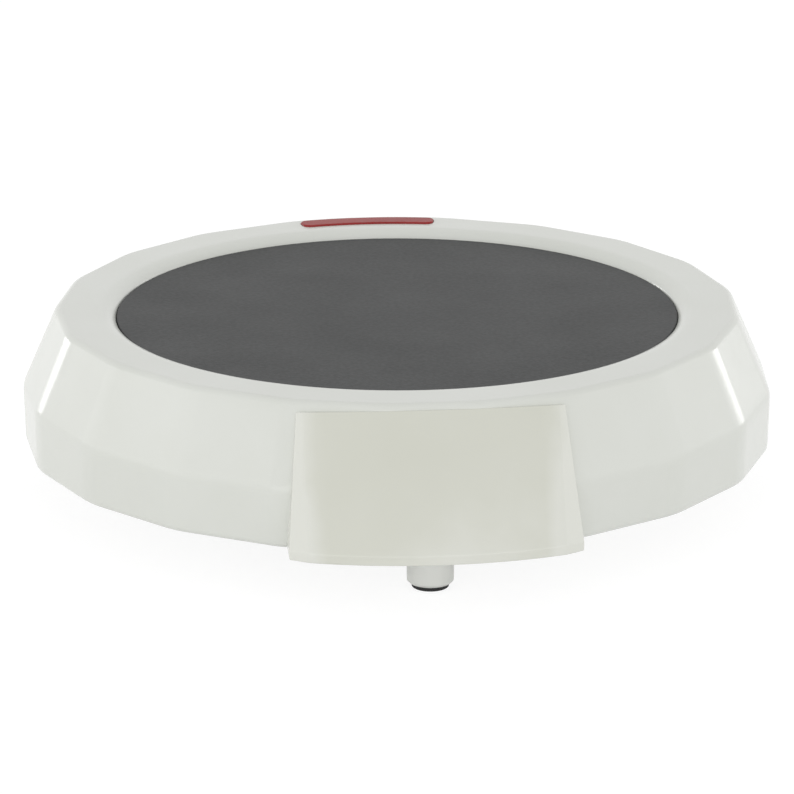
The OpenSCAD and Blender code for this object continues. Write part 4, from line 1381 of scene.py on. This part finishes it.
@dataclass
class Indicator(Assembly):
    """The red lens in the deck, with the flange that stops it from below."""

    inner_r: float = 57.38
    outer_r: float = 61.4
    half: float = 12.6
    top_z: float = 35.35
    under_z: float = 32.5
    flange_t: float = 1.2
    flange_w: float = 0.9
    flange_r: float = 62.1
    end_round: float = 1.4
    edge_round: float = 0.3

    def build(self) -> None:
        """Builds the lens."""
        low = self.under_z - self.flange_t
        lens = bent_block(self.inner_r, self.outer_r, self.half, self.under_z - self.flange_t / 2, self.top_z)
        lens.soften(standing_end, self.end_round, Arc.ENDS)
        lens.soften(self.shown_edge, self.edge_round, Arc.PLAIN)
        half = self.half + math.degrees(self.flange_w / self.outer_r)
        flange = bent_block(self.inner_r - self.flange_w, self.flange_r, half, low, self.under_z)
        form = lens.carve(flange, Carving.JOIN)
        self.finish(form, "indicator_arc", Slot.LENS, ["indicator_lens"], edge_mm=0.08)

    def shown_edge(self, edge: bmesh.types.BMEdge) -> bool:
        """Whether an edge lies round the top."""
        return level(edge, self.top_z) and turn_of(edge) > CORNER_BEND


@dataclass
class Feet(Assembly):
    """The three rubber pads in the foot posts."""

    circle: float = 59.5
    head_r: float = 3.35
    head_z: float = 2.1
    stem_r: float = 2.8
    stem_z: float = 5.4
    edge_round: float = 0.4
    bearings: dict[str, float] = field(
        default_factory=lambda: {"foot_front": 0.0, "foot_rear_right": 120.0, "foot_rear_left": 240.0}
    )

    def build(self) -> None:
        """Builds the pads."""
        for node, bearing in self.bearings.items():
            form = Form()
            form.revolve([(0, 0), (self.head_r, 0), (self.head_r, self.head_z), (self.stem_r, self.head_z),
                          (self.stem_r, self.stem_z), (0, self.stem_z)], Sides.PAD)
            form.soften(outer_corner, self.edge_round, Arc.PLAIN)
            form.move(at_bearing(bearing, self.circle))
            self.finish(form, node.replace("foot", "pad"), Slot.FOOT, [node])


@dataclass
class CordGland(Assembly):
    """The snap-in bush in the rear of the belt."""

    z: float = 16.0
    bore_r: float = 2.6
    relief_r: float = 3.0
    body_r: float = 3.7
    nose_r: float = 3.8
    barb_r: float = 4.3
    flange_r: float = 4.6
    barb_y: float = 67.16
    barb_l: float = 2.6
    flange_y: float = 69.77
    flange_t: float = 1.6
    nose_y: float = 75.26
    edge_round: float = 0.25

    def build(self) -> None:
        """Builds the bush."""
        grip_y = self.flange_y + self.flange_t
        tip_r = (self.bore_r + 2 * self.body_r) / 3
        form = Form()
        form.revolve([
            (self.relief_r, self.barb_y - self.barb_l), (self.body_r, self.barb_y - self.barb_l),
            (self.barb_r, self.barb_y), (self.body_r, self.barb_y), (self.body_r, self.flange_y),
            (self.flange_r, self.flange_y), (self.flange_r, grip_y), (self.nose_r, grip_y),
            (tip_r, self.nose_y), (self.bore_r, self.nose_y), (self.bore_r, grip_y),
            (self.relief_r, self.flange_y),
        ], Sides.SMALL)
        form.soften(outer_corner, self.edge_round, Arc.COARSE)
        form.move(Matrix.Translation((0, 0, self.z)) @ Matrix.Rotation(math.radians(-90), 4, "X"))
        self.finish(form, "gland_bush", Slot.GLAND, ["cord_gland"])


@dataclass
class CarriedNodes(Assembly):
    """The CAD nodes whose shape is right: they get finishes and softened edges."""

    edgings: dict[Slot, Edging] = field(default_factory=lambda: {
        Slot.BASE: Edging.MOULDED, Slot.INNER: Edging.FINE, Slot.CERAMIC: Edging.FINE, Slot.ZINC: Edging.FINE,
    })
    leads: tuple[Slot, ...] = (Slot.BLACK_WIRE, Slot.WHITE_WIRE)
    lead_levels: int = 2
    plane_angle: float = 0.5
    sharp: float = 35.0

    def build(self) -> None:
        """Dresses each node that no new piece stands for."""
        for part in frame["record"]["subparts"]:
            piece = frame["nodes"][part["node"]]
            if piece.hide_render:
                continue
            slot = Slot(part["material_slot"])
            self.palette.dress(piece, slot)
            weld = piece.modifiers.new("weld", "WELD")
            weld.merge_threshold = WELD * MM
            if slot in self.leads:
                self.round_lead(piece)
            else:
                self.soften_edges(piece, self.edgings.get(slot, Edging.CRISP))
            LOG.info("%s: dressed as %s", part["node"], slot.value)

    def round_lead(self, piece: bpy.types.Object) -> None:
        """Gives a lead a round section.

        Args:
            piece: The lead's node.
        """
        soft = piece.modifiers.new("round", "SUBSURF")
        soft.levels = self.lead_levels
        soft.render_levels = self.lead_levels

    def soften_edges(self, piece: bpy.types.Object, edging: Edging) -> None:
        """Joins a node's flat faces and softens its edges.

        Args:
            piece: The node.
            edging: How its edges are softened.
        """
        planes = piece.modifiers.new("planes", "DECIMATE")
        planes.decimate_type = "DISSOLVE"
        planes.angle_limit = math.radians(self.plane_angle)
        self.smooth(piece, self.sharp, edging.value)


@dataclass(frozen=True)
class SoftBox:
    """A soft light: its place, its width and height in metres, and its power in watts."""

    name: str
    place: Point3
    size: Point2
    power: float

    def hang(self, target: Vector) -> None:
        """Hangs the box so that it faces a point.

        Args:
            target: The point.
        """
        data = bpy.data.lights.new(self.name, "AREA")
        data.shape = "RECTANGLE"
        data.size, data.size_y = self.size
        data.energy = self.power
        box = bpy.data.objects.new(self.name, data)
        bpy.context.scene.collection.objects.link(box)
        box.location = self.place
        box.rotation_euler = (target - box.location).to_track_quat("-Z", "Y").to_euler()


@dataclass
class Studio:
    """The pale floor, the soft light and the camera, in metres."""

    target: Vector = field(default_factory=lambda: Vector((0.0, 0.0, 0.03248)))
    distance: float = 0.9776
    azimuth: float = -5.7
    elevation: float = 16.16
    lens_mm: float = 237.8
    sensor_mm: float = 36.0
    near: float = 0.01
    # How far above the picture's middle the target lies, and the lens's focal length, both in pixels.
    raise_px: float = 79.7
    focal_px: float = 5244.5
    ambient: float = 0.69
    floor_half: float = 6.0
    floor_white: float = 0.96
    floor_shade: float = 0.2
    floor_glow: float = 0.88
    boxes: tuple[SoftBox, ...] = (
        SoftBox("left_strip", (-0.61, 0.73, 0.1), (0.24, 0.2), 0.7),
        SoftBox("right_strip", (0.8, 0.52, 0.11), (0.2, 0.2), 0.5),
        SoftBox("left_box", (-1.1, 0.0, 0.3), (1.5, 0.56), 2.0),
        SoftBox("right_box", (1.1, 0.0, 0.3), (1.5, 0.56), 1.3),
        SoftBox("front_box", (-0.1, -1.2, 0.27), (2.4, 0.5), 3.6),
    )

    def build(self) -> None:
        """Builds the studio."""
        self.floor()
        self.world()
        for box in self.boxes:
            box.hang(self.target)
        self.camera()
        bpy.context.scene.view_settings.view_transform = "Standard"

    @staticmethod
    def part_rays(tree: bpy.types.NodeTree, output: str, lit: Socket, seen: Socket) -> None:
        """Shows one shader where it is seen directly and gives the other to all scattered light.

        A ray sees directly when it comes from the camera, a reflection or a see-through surface.

        Args:
            tree: The node tree.
            output: Kind of the output node.
            lit: The shader for scattered light.
            seen: The shader that is seen.
        """
        path = tree.nodes.new("ShaderNodeLightPath")
        direct = path.outputs["Is Camera Ray"]
        for name in ("Is Glossy Ray", "Is Transmission Ray"):
            direct = combine(tree, Sum.LARGER, direct, path.outputs[name])
        mix = tree.nodes.new("ShaderNodeMixShader")
        for source, into in zip((direct, lit, seen), mix.inputs):
            tree.links.new(source, into)
        tree.links.new(mix.outputs["Shader"], tree.nodes.new(output).inputs["Surface"])

    @staticmethod
    def shader(tree: bpy.types.NodeTree, kind: str, grey: float, strength: float = 1.0) -> Socket:
        """Adds a shader of one grey.

        Args:
            tree: The node tree.
            kind: Kind of the shader's node.
            grey: Its grey, from 0 to 1.
            strength: Its strength, where it gives light.

        Returns:
            The shader.
        """
        node = tree.nodes.new(kind)
        node.inputs["Color"].default_value = (grey, grey, grey, 1.0)
        if "Strength" in node.inputs:
            node.inputs["Strength"].default_value = strength
        return node.outputs[0]

    def floor(self) -> None:
        """Lays the floor, white to the eye but for the object's shadow."""
        form = Form()
        bmesh.ops.create_grid(form.bm, x_segments=1, y_segments=1, size=self.floor_half)
        floor = bpy.data.objects.new("floor", form.mesh("floor"))
        bpy.context.scene.collection.objects.link(floor)
        material = bpy.data.materials.new("floor_white")
        material.use_nodes = True
        tree = material.node_tree
        tree.nodes.clear()
        both = tree.nodes.new("ShaderNodeAddShader")
        shade = self.shader(tree, "ShaderNodeBsdfDiffuse", self.floor_shade)
        glow = self.shader(tree, "ShaderNodeEmission", 1.0, self.floor_glow)
        for source, into in zip((shade, glow), both.inputs):
            tree.links.new(source, into)
        lit = self.shader(tree, "ShaderNodeBsdfDiffuse", self.floor_white)
        self.part_rays(tree, "ShaderNodeOutputMaterial", lit, both.outputs["Shader"])
        floor.data.materials.append(material)

    def world(self) -> None:
        """Fills the room with soft light, white where it is seen directly."""
        world = bpy.data.worlds.new("room")
        bpy.context.scene.world = world
        world.use_nodes = True
        tree = world.node_tree
        tree.nodes.clear()
        soft = self.shader(tree, "ShaderNodeBackground", 1.0, self.ambient)
        self.part_rays(tree, "ShaderNodeOutputWorld", soft, self.shader(tree, "ShaderNodeBackground", 1.0))

    def camera(self) -> None:
        """Places the camera at the photograph's angle."""
        data = bpy.data.cameras.new("camera")
        data.lens = self.lens_mm
        data.sensor_width = self.sensor_mm
        data.clip_start = self.near
        camera = bpy.data.objects.new("camera", data)
        bpy.context.scene.collection.objects.link(camera)
        bpy.context.scene.camera = camera
        turn, rise = math.radians(self.azimuth), math.radians(self.elevation)
        back = Vector((math.sin(turn) * math.cos(rise), -math.cos(turn) * math.cos(rise), math.sin(rise)))
        camera.location = self.target + back * self.distance
        look = (-back).to_track_quat("-Z", "Y").to_matrix()
        tip = Matrix.Rotation(-self.raise_px / self.focal_px, 3, "X")
        camera.rotation_euler = (look @ tip).to_euler()


def main() -> None:
    """Builds the warmer and its studio."""
    logging.basicConfig(level=logging.INFO, format="%(message)s")
    palette = Palette()
    panel = FrontPanel(palette)
    Studio().build()
    Housing(palette, FacetPlan()).build(panel.notch())
    panel.build()
    HeatedPlate(palette).build()
    Indicator(palette).build()
    Feet(palette).build()
    CordGland(palette).build()
    CarriedNodes(palette).build()


if __name__ == "__main__":
    main()
